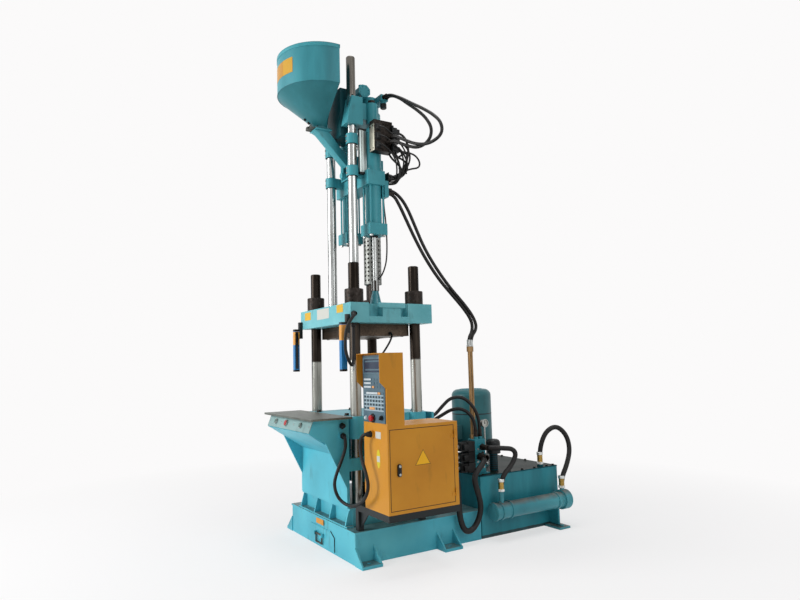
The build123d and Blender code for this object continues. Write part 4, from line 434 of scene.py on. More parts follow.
# Name, node that it replaces, carrier, diameter in metres, and route in millimetres. The supply hoses are split
# where they pass the clamp unit
for name, node_name, carrier, width, *route in (
    ("motor_hose_a", "motor_hoses", motor_bend, 0.024,
     (185, 118, 3411), (258, 118, 3411), (385, 150, 3338), (500, 168, 3256), (625, 188, 3172), (740, 205, 3085),
     (825, 215, 2995), (830, 212, 2905), (710, 185, 2872), (590, 150, 2900), (485, 100, 2965), (415, 70, 3015),
     (338, 70, 3015)),
    ("motor_hose_b", "motor_hoses", motor_bend, 0.024,
     (185, 145, 3411), (250, 145, 3411), (340, 172, 3358), (440, 180, 3275), (550, 190, 3188), (650, 205, 3090),
     (710, 212, 2990), (690, 200, 2905), (595, 165, 2872), (500, 108, 2915), (420, 52, 2975), (338, 52, 2975)),
    ("supply_hose_upper_a", "supply_hoses_upper", bend(CLAMP, CARRIAGE, 1.953, 2.628), 0.026,
     (219, 95, 2648), (219, 158, 2648), (240, 225, 2590), (257, 275, 2500), (275, 325, 2365), (300, 385, 2200),
     (328, 480, 2030), (340, 537, 1953)),
    ("supply_hose_lower_a", "supply_hoses_lower", bend(BASE, CLAMP, 1.43, 1.953), 0.026,
     (340, 537, 1953), (352, 594, 1876), (374, 704, 1756), (388, 784, 1650), (394, 806, 1562), (388, 745, 1494),
     (388, 745, 1420)),
    ("supply_hose_upper_b", "supply_hoses_upper", bend(CLAMP, CARRIAGE, 1.888, 2.588), 0.026,
     (251, 95, 2608), (251, 148, 2608), (260, 198, 2520), (268, 250, 2410), (280, 312, 2275), (300, 390, 2120),
     (330, 492, 1955), (342, 551, 1888)),
    ("supply_hose_lower_b", "supply_hoses_lower", bend(BASE, CLAMP, 1.43, 1.888), 0.026,
     (342, 551, 1888), (354, 610, 1821), (372, 705, 1715), (378, 772, 1620), (385, 765, 1540), (402, 712, 1485),
     (402, 712, 1420)),
    ("cabinet_conduit_hose", "cabinet_conduit", BASE, 0.022,
     (409, -399, 823), (440, -399, 823), (448, -397, 775), (434, -396, 725), (432, -426, 655), (432, -464, 574),
     (432, -480, 511), (436, -462, 440), (462, -432, 394), (547, -408, 380), (660, -405, 418), (745, -408, 474),
     (790, -412, 548), (765, -416, 625), (715, -418, 700), (690, -416, 770), (694, -412, 830), (725, -402, 860),
     (745, -385, 860), (745, -364, 860)),
    ("return_hose", "hydraulic_hoses", BASE, 0.042,
     (488, 710, 585), (540, 710, 585), (578, 678, 560), (590, 620, 520), (592, 570, 470), (596, 578, 400),
     (600, 602, 325), (604, 615, 245), (604, 588, 160), (602, 530, 96), (600, 466, 96), (597, 432, 165),
     (592, 422, 265), (585, 428, 370), (550, 450, 450), (480, 470, 500), (400, 460, 508), (330, 432, 505),
     (330, 365, 505)),
    ("cooler_hose", "hydraulic_hoses", BASE, 0.036,
     (488, 735, 655), (540, 735, 655), (590, 790, 652), (618, 845, 648), (648, 900, 642), (655, 928, 600),
     (650, 885, 525), (640, 780, 440), (640, 780, 343)),
    ("tank_loop_hose", "hydraulic_hoses", BASE, 0.038,
     (640, 1400, 293), (640, 1400, 365), (640, 1470, 465), (630, 1525, 585), (608, 1510, 700), (580, 1435, 770),
     (552, 1355, 735), (530, 1315, 655), (515, 1300, 560), (515, 1300, 472)),
    ("clamp_hose_a", "hydraulic_hoses", BASE, 0.026,
     (300, 365, 890), (300, 425, 890), (325, 490, 965), (352, 555, 1030), (395, 635, 1035), (435, 695, 975),
     (444, 742, 890), (445, 755, 810), (445, 755, 730)),
    ("clamp_hose_b", "hydraulic_hoses", BASE, 0.026,
     (255, 365, 850), (255, 425, 850), (288, 500, 890), (335, 570, 940), (390, 635, 945), (433, 685, 895),
     (445, 715, 820), (445, 715, 730)),
    ("curtain_loom", "platen_cables", CLAMP, 0.022,
     (445, -318, 1655), (480, -318, 1655), (488, -352, 1625), (480, -388, 1565), (472, -400, 1490), (468, -398, 1400),
     (472, -374, 1325), (448, -335, 1290), (422, -310, 1340), (404, -300, 1430), (404, -300, 1595)),
    ("mould_lead", "platen_cables", bend(BASE, CLAMP, 1.28, 1.5), 0.014,
     (310, 50, 1525), (352, 50, 1525), (402, 0, 1465), (448, -85, 1385), (500, -175, 1315), (565, -265, 1270),
     (627, -265, 1270)),
    ("heater_lead", "heater_cable", CARRIAGE, 0.012,
     (110, 140, 2662), (110, 140, 2560), (114, 152, 2450), (116, 158, 2330), (114, 160, 2200), (110, 152, 2090),
     (103, 120, 2000), (100, 90, 1968), (69, 90, 1968)),
):
    hose(name, node_name, carrier, width, in_metres(*route))


# Shapes: every piece starts from an operator's shape, or from a profile that is spun
def rounded(shape, geom, offset, segments=2, affect="EDGES"):
    bmesh.ops.bevel(shape, geom=geom, offset=offset, segments=segments, profile=0.5, affect=affect, material=-1)


def box(shape, low, high, edge=0.0):
    """A block between two corners with rounded edges."""
    low, high = Vector(low), Vector(high)
    place = Matrix.Translation((low + high) / 2) @ Matrix.Diagonal((*(high - low), 1))
    made = bmesh.ops.create_cube(shape, size=1, matrix=place)
    if edge:
        rounded(shape, list({e for v in made["verts"] for e in v.link_edges}), edge)


def placed(centre, axis):
    """The matrix that stands a shape on centre with its Z along axis."""
    return Matrix.Translation(centre) @ Vector(axis).to_track_quat("Z", "Y").to_matrix().to_4x4()


def turned(shape, profile, centre, axis=UP, steps=40):
    """Spins a profile of (radius, height) pairs about an axis through centre."""
    points = [shape.verts.new(placed(centre, axis) @ Vector((r, 0, h))) for r, h in profile]
    lines = [shape.edges.new(pair) for pair in zip(points, points[1:])]
    bmesh.ops.spin(shape, geom=points + lines, cent=centre, axis=axis, angle=math.tau, steps=steps, use_merge=True)


def prism(shape, centre, axis, width, height, sides=6, edge=0.0):
    """A nut or round head: `width` across flats, standing out from centre along axis. Returns its top."""
    radius = width / 2 / math.cos(math.pi / sides)
    made = bmesh.ops.create_cone(
        shape, cap_ends=True, segments=sides, radius1=radius, radius2=radius, depth=height,
        matrix=placed(centre, axis) @ Matrix.Translation((0, 0, height / 2)),
    )
    out = Vector(axis).normalized()
    faces = {f for v in made["verts"] for f in v.link_faces}
    top = max(faces, key=lambda f: f.calc_center_median().dot(out))
    if edge:
        rounded(shape, list(top.edges), edge)
        faces = {f for f in shape.faces if f.normal.dot(out) > 0.99}
        top = min(faces, key=lambda f: (f.calc_center_median() - Vector(centre) - out * height).length)
    return top


def socket_screws(shape, spots, axis, head, high):
    """Cap screw heads with a hexagon socket."""
    for spot in spots:
        top = prism(shape, spot, axis, head, high, 16, head * 0.07)
        bmesh.ops.inset_individual(shape, faces=[top], thickness=head * 0.2, depth=0)
        bmesh.ops.inset_individual(shape, faces=[top], thickness=head * 0.01, depth=-high * 0.55)


def hex_bolts(shape, spots, axis, size, washer=True):
    """Hexagon heads on plain washers: size is the width across flats."""
    for spot in spots:
        lift = Vector(spot)
        if washer:
            prism(shape, spot, axis, size * 1.35, size * 0.12, 20)
            lift = lift + Vector(axis).normalized() * size * 0.12
        prism(shape, lift, axis, size, size * 0.42, 6, size * 0.06)


def ring_profile(inner, outer, low, high, edge=0.001):
    """A closed ring section with broken corners, for turned()."""
    return [
        (inner, low), (outer - edge, low), (outer, low + edge), (outer, high - edge),
        (outer - edge, high), (inner, high), (inner, low),
    ]


def disc_profile(radius, shoulder, top_radius, top, low=0):
    """A solid disc or cap with a chamfer between its shoulder and its top, for turned()."""
    return [(0, low), (radius, low), (radius, shoulder), (top_radius, top), (0, top)]


def slab(shape, corners, way):
    """A flat face thickened along a vector."""
    face = shape.faces.new([shape.verts.new(corner) for corner in corners])
    made = bmesh.ops.extrude_face_region(shape, geom=[face])
    raised = [v for v in made["geom"] if isinstance(v, bmesh.types.BMVert)]
    bmesh.ops.translate(shape, verts=raised, vec=way)


def assembled(name, body, material, *parts, slot=None):
    """A piece of several shapes: each part is a shape's function and what it takes after the bmesh."""
    shape = bmesh.new()
    for make, *given in parts:
        make(shape, *given)
    return piece(name, shape, body, material)


def turned_piece(name, body, material, *rings, slot=None):
    """A piece of spun profiles: each entry is profile, centre and axis."""
    return assembled(name, body, material, *[(turned, *ring) for ring in rings], slot=slot)


def blocks(name, body, material, boxes, edge=0.0015):
    """A piece of rounded blocks: each entry is a low and a high corner."""
    return assembled(name, body, material, *[(box, low, high, edge) for low, high in boxes])


def every(xs, ys, zs):
    """All the points with an X, a Y and a Z out of three rows."""
    return [(x, y, z) for x in xs for y in ys for z in zs]


def circle(count, radius, start=0.0):
    """Points round a circle, from an angle in radians."""
    angles = [turn * math.tau / count + start for turn in range(count)]
    return [(radius * math.cos(angle), radius * math.sin(angle)) for angle in angles]


def field(name, body, material, corners, out=FRONT, thick=0.0006):
    """A thin plain sticker: its corners on the surface, thickened outwards."""
    return assembled(name, body, material, (slab, corners, Vector(out) * thick))


def upright(y, left, right, low, high):
    """The corners of a rectangle that faces the front."""
    return [(left, y, high), (left, y, low), (right, y, low), (right, y, high)]


def hose_nut(shape, spot, way, width, across):
    prism(shape, spot, way, width * across, width * 0.5, 6, width * 0.05)


def hose_ends(name, body, material, ends, nut=True):
    """Crimped sleeves with pressed grooves, and swivel nuts. Each end is the point where the hose meets its
    port, the hose's direction out of it, and its diameter."""
    shape = bmesh.new()
    for spot, way, width in ends:
        way = Vector(way).normalized()
        if nut:
            hose_nut(shape, Vector(spot) + way * 0.0005, way, width, 1.24)
        bore, radius, sleeve = width * 0.44, width * 0.575, width * 0.5
        profile = [(bore, sleeve), (radius, sleeve)]
        for groove in range(4):
            low = sleeve + width * (0.14 + groove * 0.32)
            profile += [(radius, low), (radius * 0.94, low + width * 0.05), (radius * 0.94, low + width * 0.14),
                        (radius, low + width * 0.19)]
        profile += [(radius, sleeve + width * 1.5), (radius * 0.88, sleeve + width * 1.56),
                    (bore, sleeve + width * 1.56), (bore, sleeve)]
        turned(shape, profile, Vector(spot), way, 28)
    return piece(name, shape, body, material)


def glands(name, body, ends):
    """Cable glands: hexagon body, ribbed dome nut and seal lip, moulded in polyamide."""
    shape = bmesh.new()
    for spot, way, width in ends:
        prism(shape, spot, way, width * 1.7, width * 0.45, 6, width * 0.05)
        radius, bore = width * 0.8, width * 0.5
        profile = [(bore, width * 0.45), (radius, width * 0.45), (radius, width), (radius * 0.86, width * 1.3),
                   (width * 0.6, width * 1.45), (bore, width * 1.45), (bore, width * 0.45)]
        turned(shape, profile, spot, way, 24)
    return piece(name, shape, body, black_plastic)


# Hose ends
hose_ends(
    "hose_end_fittings", BASE, oxide_steel,
    [
        ((0.488, 0.71, 0.585), RIGHT, 0.042), ((0.33, 0.365, 0.505), REAR, 0.042),
        ((0.488, 0.735, 0.655), RIGHT, 0.036), ((0.3, 0.365, 0.89), REAR, 0.026),
        ((0.255, 0.365, 0.85), REAR, 0.026), ((0.445, 0.755, 0.73), UP, 0.026), ((0.445, 0.715, 0.73), UP, 0.026),
    ],
)
hose_ends(
    "pipe_end_fittings", BASE, zinc_steel, [((0.388, 0.745, 1.42), UP, 0.026), ((0.402, 0.712, 1.42), UP, 0.026)]
)
cooler_ends = [
    ((0.64, 0.78, 0.343), UP, 0.036), ((0.64, 1.4, 0.293), UP, 0.038), ((0.515, 1.3, 0.472), UP, 0.038),
]
hose_ends("brass_hose_ends", BASE, brass, cooler_ends, nut=False)
nuts = []
for (x, y, z), way, width in cooler_ends:
    nuts.append((hose_nut, (x, y, z + 0.0005), way, width, 1.2))
    nuts.append((turned, ring_profile(width * 0.5, width * 0.66, width * 1.9, width * 2.5, 0.002), (x, y, z)))
assembled("cooler_end_nuts", BASE, pale_zinc, *nuts)
hose_ends(
    "manifold_hose_ends", CARRIAGE, oxide_steel,
    [
        ((0.338, 0.07, 3.015), RIGHT, 0.024), ((0.338, 0.052, 2.975), RIGHT, 0.024),
        ((0.219, 0.095, 2.648), REAR, 0.026), ((0.251, 0.095, 2.608), REAR, 0.026),
    ],
)
hose_ends(
    "motor_hose_ends", CROSSHEAD, oxide_steel,
    [((0.185, 0.118, 3.411), RIGHT, 0.024), ((0.185, 0.145, 3.411), RIGHT, 0.024)],
)

# Cable glands
glands(
    "cable_glands", BASE,
    [
        ((0.4092, -0.399, 0.823), RIGHT, 0.022), ((0.745, -0.3642, 0.86), FRONT, 0.022),
        ((0.3952, -0.397, 0.889), RIGHT, 0.022), ((0.627, -0.265, 1.27), LEFT, 0.014),
    ],
)
turned_piece(
    "gland_blind_plug", BASE, black_plastic, (disc_profile(0.013, 0.033, 0.01, 0.037), (0.3952, -0.397, 0.889), RIGHT)
)
glands(
    "platen_glands", CLAMP,
    [
        ((0.445, -0.318, 1.655), RIGHT, 0.022), ((0.404, -0.3, 1.595), DOWN, 0.022),
        ((0.31, 0.05, 1.525), RIGHT, 0.014),
    ],
)
glands("heater_glands", CARRIAGE, [((0.11, 0.14, 2.662), DOWN, 0.012), ((0.069, 0.09, 1.968), RIGHT, 0.012)])

# Access cover: dark rubber strips along its right side and its corner, painted shade of the cover's edge there
edge_shade_y, edge_shade_out = -0.3862, 0.004
for name, corners in (
    ("cover_edge_shade_side", ((0.2303, 0.108), (0.2303, 0.014), (0.2353, 0.014), (0.2353, 0.1105))),
    ("cover_edge_shade_corner", ((0.1715, 0.1467), (0.1703, 0.1422), (0.2303, 0.1082), (0.2353, 0.1105))),
):
    field(name, BASE, seal_rubber, [(x, edge_shade_y, z) for x, z in corners], FRONT, edge_shade_out)
plate_corners = ((-0.066, 0.197), (-0.066, 0.16), (0.06, 0.16), (0.06, 0.199))
field("base_plate_field", BASE, orange_film, [(x, -0.3922, z) for x, z in plate_corners])

# Housings: bolted guide blocks and the screws that hold the fixed platen
assembled(
    "guide_screws", BASE, oxide_steel,
    *[(socket_screws, every((x - 0.035, x + 0.035), (0.365,), (0.598, 0.64)), REAR, 0.02, 0.01)
      for x in (-0.335, 0.335)],
)
platen_z = 0.943
platen_spots = every((-0.24, 0.24), (-0.28, 0.28), (platen_z,)) + every((-0.25, 0.25), (0,), (platen_z,))
assembled("fixed_platen_bolts", BASE, oxide_steel, (hex_bolts, platen_spots, UP, 0.03))

# Table: countersunk screws along its front
shape = bmesh.new()
for x in (-0.4, -0.2, 0.0, 0.2, 0.4):
    top = prism(shape, (x, -0.395, 0.9495), UP, 0.018, 0.0008, 16)
    bmesh.ops.inset_individual(shape, faces=[top], thickness=0.005, depth=0)
    bmesh.ops.inset_individual(shape, faces=[top], thickness=0.0002, depth=-0.0006)
piece("table_screws", shape, BASE, oxide_steel)

# Button panel: turned collars round the heads, and its screws
panel_out = Vector((0, -0.9314, 0.364)).normalized()
panel_mid = Vector((0, -0.623, 0.8935)) + panel_out * 0.005
turned_piece(
    "button_collars", BASE, zinc_steel,
    *[(ring_profile(radius, radius + 0.0045, 0, 0.011), panel_mid + Vector((x, 0, 0)), panel_out)
      for x, radius in ((-0.24, 0.0145), (-0.035, 0.0195), (0.23, 0.0145))],
)
panel_spots = [panel_mid + Vector((x, 0, 0)) for x in (-0.37, -0.14, 0.1, 0.37)]
assembled("panel_screws", BASE, zinc_steel, (socket_screws, panel_spots, panel_out, 0.01, 0.003))

# Cabinet: plain fields, a dark door seal that is also painted shade of the door's gap, hinge sleeves and lock barrels
door_x = 0.9292
for name, material, thick, corners in (
    ("door_field_border", black_plastic, 0.0003, ((-0.1525, 0.6645), (-0.0375, 0.6655), (-0.092, 0.7585))),
    ("door_field", signal_film, 0.0006, ((-0.148, 0.667), (-0.042, 0.668), (-0.092, 0.754))),
):
    field(name, "door", material, [(door_x, y, z) for y, z in corners], RIGHT, thick)
field("cabinet_square_field", BASE, pale_film, upright(-0.3502, 0.78, 0.846, 0.836, 0.878))
shape = bmesh.new()
turned(shape, [(0, 0.0002), (0.022, 0.0002), (0.022, 0.0008), (0, 0.0008)], (0, 0, 0), FRONT, 32)
bmesh.ops.scale(shape, verts=shape.verts, vec=(1, 1, 2.6))
bmesh.ops.translate(shape, verts=shape.verts, vec=(0.812, -0.35, 0.711))
piece("cabinet_oval_field", shape, BASE, lemon_film)
field("cabinet_oval_centre", BASE, pale_film, upright(-0.3509, 0.794, 0.83, 0.692, 0.728))
# A dark rubber strip in the door's gap, standing for the gap's shade: painted shade
(x0, y0, z0), (x1, y1, z1), seal = (0.9288, -0.336, 0.403), (0.9294, 0.151, 0.897), 0.0035
blocks(
    "door_seal_and_gap_shade", BASE, seal_rubber,
    [
        ((x0, y0, z0), (x1, y0 + seal, z1)), ((x0, y1 - seal, z0), (x1, y1, z1)),
        ((x0, y0 + seal, z0), (x1, y1 - seal, z0 + seal)), ((x0, y0 + seal, z1 - seal), (x1, y1 - seal, z1)),
    ],
    0,
)
for name, body, way in (("hinge_upper_sleeves", BASE, UP), ("hinge_lower_sleeves", "door", DOWN)):
    sleeve = disc_profile(0.0066, 0.0236, 0.005, 0.0252, 0.0004)
    turned_piece(name, body, ochre_coat, *[(sleeve, (0.936, 0.154, z), way) for z in (0.465, 0.835)])
lock = [(0, 0.0142), (0.0078, 0.0142), (0.0078, 0.0165), (0.006, 0.0172), (0.003, 0.015), (0, 0.015)]
turned_piece(
    "lock_barrels", "lock", zinc_steel, *[(lock, (0.9293, -0.273, z), RIGHT) for z in (0.672, 0.622)],
    slot="bright_steel",
)

# Control tower: screen glass, key caps, stop collar and pilot lamp
face_y = -0.356
blocks(
    "screen_glass", BASE, screen_glass, [((0.6595, face_y - 0.003, 1.2505), (0.8945, face_y - 0.0002, 1.3335))], 0.0006
)
blocks(
    "screen_picture_bands", BASE, screen_band,
    [((0.672, face_y - 0.0034, z), (0.882, face_y - 0.0029, z + 0.01)) for z in (1.262, 1.316)], 0,
)
key_pitch = 0.24 / 6 * 0.93


def key_at(column, z, half_w, half_h=0.0068, high=0.004):
    x = 0.777 + (column - 3) * key_pitch
    return (x - half_w, face_y - high, z - half_h), (x + half_w, face_y - 0.0018, z + half_h)


blocks("function_keys", BASE, pale_key, [key_at(1, z, 0.046, 0.0058) for z in (1.205, 1.181, 1.157)], 0.0012)
blocks("wide_pad", BASE, pale_key, [key_at(2.5, 1.118, 0.074)], 0.003)
blocks(
    "peach_keys", BASE, peach_key,
    [key_at(5, 1.118, 0.016), key_at(3, 1.157, 0.013), key_at(2.5, 1.022, 0.034, 0.0078)], 0.002,
)
blocks("lower_key_field", BASE, key_field, [((0.652, face_y - 0.0008, 1.006), (0.902, face_y - 0.0001, 1.108))], 0)
dark_keys = [
    key_at(column, z, 0.0078, 0.0052) for z in (1.094, 1.07, 1.046, 1.022) for column in range(7)
    if not (z == 1.022 and column in (2, 3))
]
blocks("dark_keys", BASE, dark_key, dark_keys, 0.0012)
collar = ring_profile(0.0208, 0.029, 0, 0.006)
turned_piece("stop_collar", BASE, black_plastic, (collar, (0.764, face_y - 0.0001, 0.961), FRONT))
lamp = [(0, 0), (0.014, 0), (0.014, 0.005), (0.011, 0.006), (0.011, 0.012), (0.008, 0.015), (0, 0.016)]
turned_piece("pilot_lamp", BASE, pale_key, (lamp, (0.676, face_y - 0.0001, 0.959), FRONT))

# Hydraulic unit: screws of the lid and the motor, fan grille, motor bands and breather
lid_z = 0.4541
lid_spots = every((-0.532, 0.532), (0.7, 0.83, 0.96, 1.09, 1.22, 1.35, 1.42), (lid_z,))
lid_spots += [(x, y, lid_z) for y in (0.682, 1.43) for x in (-0.4, -0.25, -0.1, 0.05, 0.2)]
assembled("lid_bolts", BASE, oxide_steel, (hex_bolts, lid_spots, UP, 0.018))
motor_ring = [(MOTOR[0] + dx, MOTOR[1] + dy, 0.4682) for dx, dy in circle(8, 0.11)]
box_spots = every((MOTOR[0] - 0.05, MOTOR[0] + 0.05), (0.7095,), (0.74 - 0.045, 0.74 + 0.045))
assembled(
    "motor_bolts", BASE, zinc_steel, (hex_bolts, motor_ring, UP, 0.022), (socket_screws, box_spots, FRONT, 0.012, 0.006)
)
shape = bmesh.new()
for radius in (0.03, 0.05, 0.07, 0.09):
    turned(shape, ring_profile(radius - 0.003, radius + 0.003, 0, 0.003, 0.0008), (*MOTOR, 1.0762))
for turn in range(4):
    turning = Matrix.Rotation(turn * math.pi / 4, 4, "Z") @ Matrix.Diagonal((0.186, 0.005, 0.002, 1))
    bmesh.ops.create_cube(shape, size=1, matrix=Matrix.Translation((*MOTOR, 1.0772)) @ turning)
piece("fan_grille", shape, BASE, tank_enamel)
gland = disc_profile(0.016, 0.012, 0.012, 0.022)
turned_piece("terminal_gland", BASE, black_plastic, (gland, (MOTOR[0], 0.735, 0.685), DOWN))
turned_piece("motor_seam_band", BASE, shadow_paint, (ring_profile(0.1606, 0.1622, 0, 0.008), (*MOTOR, 0.876)))
turned_piece("motor_shroud", BASE, motor_enamel, (ring_profile(0.1575, 0.1612, 0.61, 0.877, 0.0012), (*MOTOR, 0)))
breather = [
    (0, 0.1065), (0.034, 0.1065), (0.047, 0.1), (0.055, 0.088), (0.0562, 0.075), (0.0562, 0.0),
    (0.053, -0.002), (0.034, -0.002), (0, -0.002),
]
turned_piece("breather_cap", BASE, black_paint, (breather, (0.4, 0.918, 0.584)))
turned_piece(
    "breather_neck", BASE, black_paint,
    *[(ring_profile(0.0325, 0.0345, 0.01 + level * 0.014, 0.018 + level * 0.014, 0.0006), (0.4, 0.918, 0.456))
      for level in range(8)],
)

# Valves: plug connectors on the coils, knurled nuts, socket screws and a port plug
coil_levels = (0.507, 0.585, 0.663)
valve_spots = every((0.4699,), (0.705, 0.765), (0.5, 0.545)) + [(0.4699, 0.712, 0.64)]
assembled(
    "valve_screws", BASE, zinc_steel,
    *[(turned, disc_profile(0.019, 0.014, 0.016, 0.017), (0.425, 0.5569, z), FRONT, 24) for z in coil_levels],
    (socket_screws, valve_spots, RIGHT, 0.014, 0.005),
)
coil_plugs = [((0.4602, 0.572, z - 0.02), (0.486, 0.612, z + 0.02)) for z in coil_levels]
blocks("coil_plugs", BASE, black_plastic, coil_plugs, 0.004)
plug = disc_profile(0.013, 0.003, 0.01, 0.0045)
turned_piece("manifold_port_plug", BASE, black_plastic, (plug, (0.4699, 0.755, 0.605), RIGHT))

# Gauge: bezel, and dial with ticks
gauge_y, gauge_z = 0.8, 0.826
gauge_at = (0.46, gauge_y, gauge_z)
dial = [(0, -0.0081), (0.0255, -0.0081), (0.0255, -0.0078), (0, -0.0078)]
bezel = ring_profile(0.0262, 0.0312, -0.002, 0.0012)
turned_piece("gauge_bezel", BASE, zinc_steel, (bezel, gauge_at, RIGHT), slot="gauge_metal")
turned_piece("gauge_dial", BASE, pale_film, (dial, gauge_at, RIGHT), slot="gauge_metal")
shape = bmesh.new()
for tick in range(11):
    mark = Matrix.Translation((0, 0, 0.0222)) @ Matrix.Diagonal((0.0006, 0.0012 if tick % 5 else 0.002, 0.005, 1))
    turning = Matrix.Rotation(math.radians(-120 + tick * 24), 4, "X")
    bmesh.ops.create_cube(shape, size=1, matrix=Matrix.Translation((0.4522, gauge_y, gauge_z)) @ turning @ mark)
piece("gauge_ticks", shape, BASE, black_plastic)

# Cooler: rim rings on the end cap
turned_piece(
    "cooler_cap_rim", BASE, cooler_enamel,
    (ring_profile(0.057, 0.0665, 0.0, 0.016, 0.002), (COOLER[0], 0.6935, COOLER[1]), REAR),
    (ring_profile(0.0, 0.03, -0.0005, 0.002, 0.001), (COOLER[0], 0.6915, COOLER[1]), REAR),
)

# Tank: dusty skin and bolt of the foot, and the level gauge on the left side
assembled(
    "tank_foot_skin", BASE, cooler_enamel,
    (box, (0.551, 1.2896, 0.0003), (0.7104, 1.4004, 0.0166), 0.001), (hex_bolts, [(0.676, 1.345, 0.0166)], UP, 0.024),
)
blocks("level_gauge_frame", BASE, zinc_steel, [((-0.55, 0.98, 0.15), (-0.5452, 1.02, 0.4))])
blocks("level_gauge_glass", BASE, oil_glass, [((-0.5504, 0.99, 0.175), (-0.5498, 1.01, 0.375))], 0)

# Platen: plain fields, side plate, nut set screws, bolts, mould plate screws and feet of the rods
for name, material, *sides in (
    ("platen_field_left", yellow_film, -0.361, -0.245, 1.661, 1.722),
    ("platen_field_middle", pale_film, -0.124, 0.092, 1.65, 1.728),
    ("platen_field_right", yellow_film, 0.222, 0.326, 1.676, 1.733),
):
    field(name, CLAMP, material, upright(-0.3402, *sides))
blocks("platen_side_plate", CLAMP, platen_enamel, [((0.43, -0.119, 1.702), (0.462, 0.097, 1.7385))], 0.002)
set_screws = []
for x, y, z in every((-0.335, 0.335), (-0.255, 0.255), (1.79,)):
    for way in circle(4, 1, math.radians(32)):
        way = Vector((*way, 0))
        set_screws.append((socket_screws, [Vector((x, y, z)) + way * 0.0679], way, 0.016, 0.001))
assembled("nut_set_screws", CLAMP, black_plastic, *set_screws, slot="dark_steel")
platen_top = 1.7371
assembled(
    "platen_bolts", CLAMP, oxide_steel,
    (hex_bolts, every((-0.28, 0.28), (-0.19, 0.19), (platen_top,)), UP, 0.03),
    (hex_bolts, every((-0.12, 0.12), (-0.02, 0.2), (platen_top,)), UP, 0.024),
)
mould_spots = every((-0.27, -0.1, 0.1, 0.27), (-0.18, 0.18), (1.5069,))
assembled("mould_plate_screws", CLAMP, oxide_steel, (socket_screws, mould_spots, DOWN, 0.024, 0.004))
assembled(
    "seat_rod_nuts", CLAMP, oxide_steel,
    *[(prism, (side * SEAT_X, 0, 1.8535), UP, 0.0512, 0.0772, 6, 0.002) for side in SIDES],
)
foot = ring_profile(0.0352, 0.055, 0, 0.022, 0.002)
turned_piece("rod_foot_rings", CLAMP, oxide_steel, *[(foot, (side * GUIDE_X, GUIDE_Y, platen_top)) for side in SIDES])

# Light curtains: end caps, lens strip, pale upper wrap and brackets
caps, lenses, wraps, brackets = [], [], [], []
for side in SIDES:
    x = side * CURTAIN_X
    for low_z, high_z in ((1.258, 1.274), (1.58, 1.5965)):
        caps.append(((x - 0.0188, -0.4128, low_z), (x + 0.0188, -0.3692, high_z)))
    near, far = sorted((x - side * 0.0182, x - side * 0.0182 - side * 0.0006))
    lenses.append(((near, -0.404, 1.28), (far, -0.38, 1.574)))
    wraps.append(((x - 0.0186, -0.4126, 1.47), (x + 0.0186, -0.3694, 1.578)))
    brackets.append(((x - 0.0128, -0.3704, 1.521), (x + 0.0128, -0.3396, 1.653)))
blocks("curtain_brackets", CLAMP, black_paint, brackets)
blocks("curtain_end_caps", CLAMP, black_plastic, caps, 0.003)
blocks("curtain_lenses", CLAMP, lens_window, lenses, 0)
blocks("curtain_upper_wraps", CLAMP, sand_film, wraps, 0.002)

# Injection unit: collar screws, cylinder nuts, flanges and wipers
screws, cylinder_rings, wipers = [], [], []
for side in SIDES:
    x = side * SEAT_X
    collar_spots = every((side * GUIDE_X,), (-0.2188,), (2.745, 2.783, 2.995, 3.033))
    screws.append((socket_screws, collar_spots, FRONT, 0.013, 0.006))
    screws.append((hex_bolts, every((x - 0.06, x + 0.06), (0.048, -0.07), (2.7729,)), UP, 0.014))
    screws.append((hex_bolts, every((x - 0.054, x + 0.054), (-0.054, 0.054), (2.2779,)), DOWN, 0.024))
    for low_z in (2.7732, 3.078):
        cylinder_rings.append((ring_profile(0.0655, 0.0715, low_z, low_z + 0.028, 0.002), (x, 0, 0)))
    cylinder_rings.append((ring_profile(0.0228, 0.045, 3.1092, 3.121, 0.002), (x, 0, 0)))
    wipers.append((ring_profile(0.0173, 0.03, 2.266, 2.2778, 0.002), (x, 0, 0)))
    for z in (2.7222, 2.8032, 2.9722, 3.0532):
        wipers.append((ring_profile(0.0352, 0.0425, z, z + 0.0026, 0.0006), (side * GUIDE_X, GUIDE_Y, 0)))
assembled("carriage_screws", CARRIAGE, zinc_steel, *screws)
turned_piece("cylinder_flanges", CARRIAGE, upper_shaded_enamel, *cylinder_rings)
turned_piece("rod_wipers", CARRIAGE, seal_rubber, *wipers)

# Barrel guard: perforated sheet rolled to a tube, with a plain hem at each end
guard = bmesh.new()
around, along = 28, 42
guard_low, guard_high, guard_r = 1.934, 2.655, 0.069
wide, tall = 2 * math.pi * guard_r, guard_high - guard_low
sheet = Matrix.Diagonal((wide, tall, 1, 1))
bmesh.ops.create_grid(guard, x_segments=around, y_segments=along, size=0.5, matrix=sheet)
holes = []
for face in guard.faces:
    spot = face.calc_center_median()
    column = round(spot.x / (wide / around) + around / 2 - 0.5)
    row = round(spot.y / (tall / along) + along / 2 - 0.5)
    if column % 2 and row % 2:
        holes.append(face)
corners = list({v for f in holes for v in f.verts})
bmesh.ops.delete(guard, geom=holes, context="FACES_ONLY")
rounded(guard, corners, 0.0042, 1, "VERTICES")
for v in guard.verts:
    angle = v.co.x / guard_r
    rolled = (guard_r * math.cos(angle), BARREL_Y + guard_r * math.sin(angle))
    v.co = (*rolled, v.co.y + (guard_low + guard_high) / 2)
bmesh.ops.remove_doubles(guard, verts=guard.verts, dist=0.00005)
bmesh.ops.recalc_face_normals(guard, faces=guard.faces)
bmesh.ops.solidify(guard, geom=guard.faces[:], thickness=0.0016)
for inner, outer, low_z, high_z in (
    (0.0662, 0.0695, 1.928, 1.945), (0.0662, 0.0695, 2.645, 2.661), (0.0452, 0.0668, 1.928, 1.932),
):
    turned(guard, ring_profile(inner, outer, low_z, high_z, 0.0008), (0, BARREL_Y, 0))
guard_piece = piece("perforated_barrel_guard", guard, CARRIAGE, guard_sheet)
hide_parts("barrel_guard")


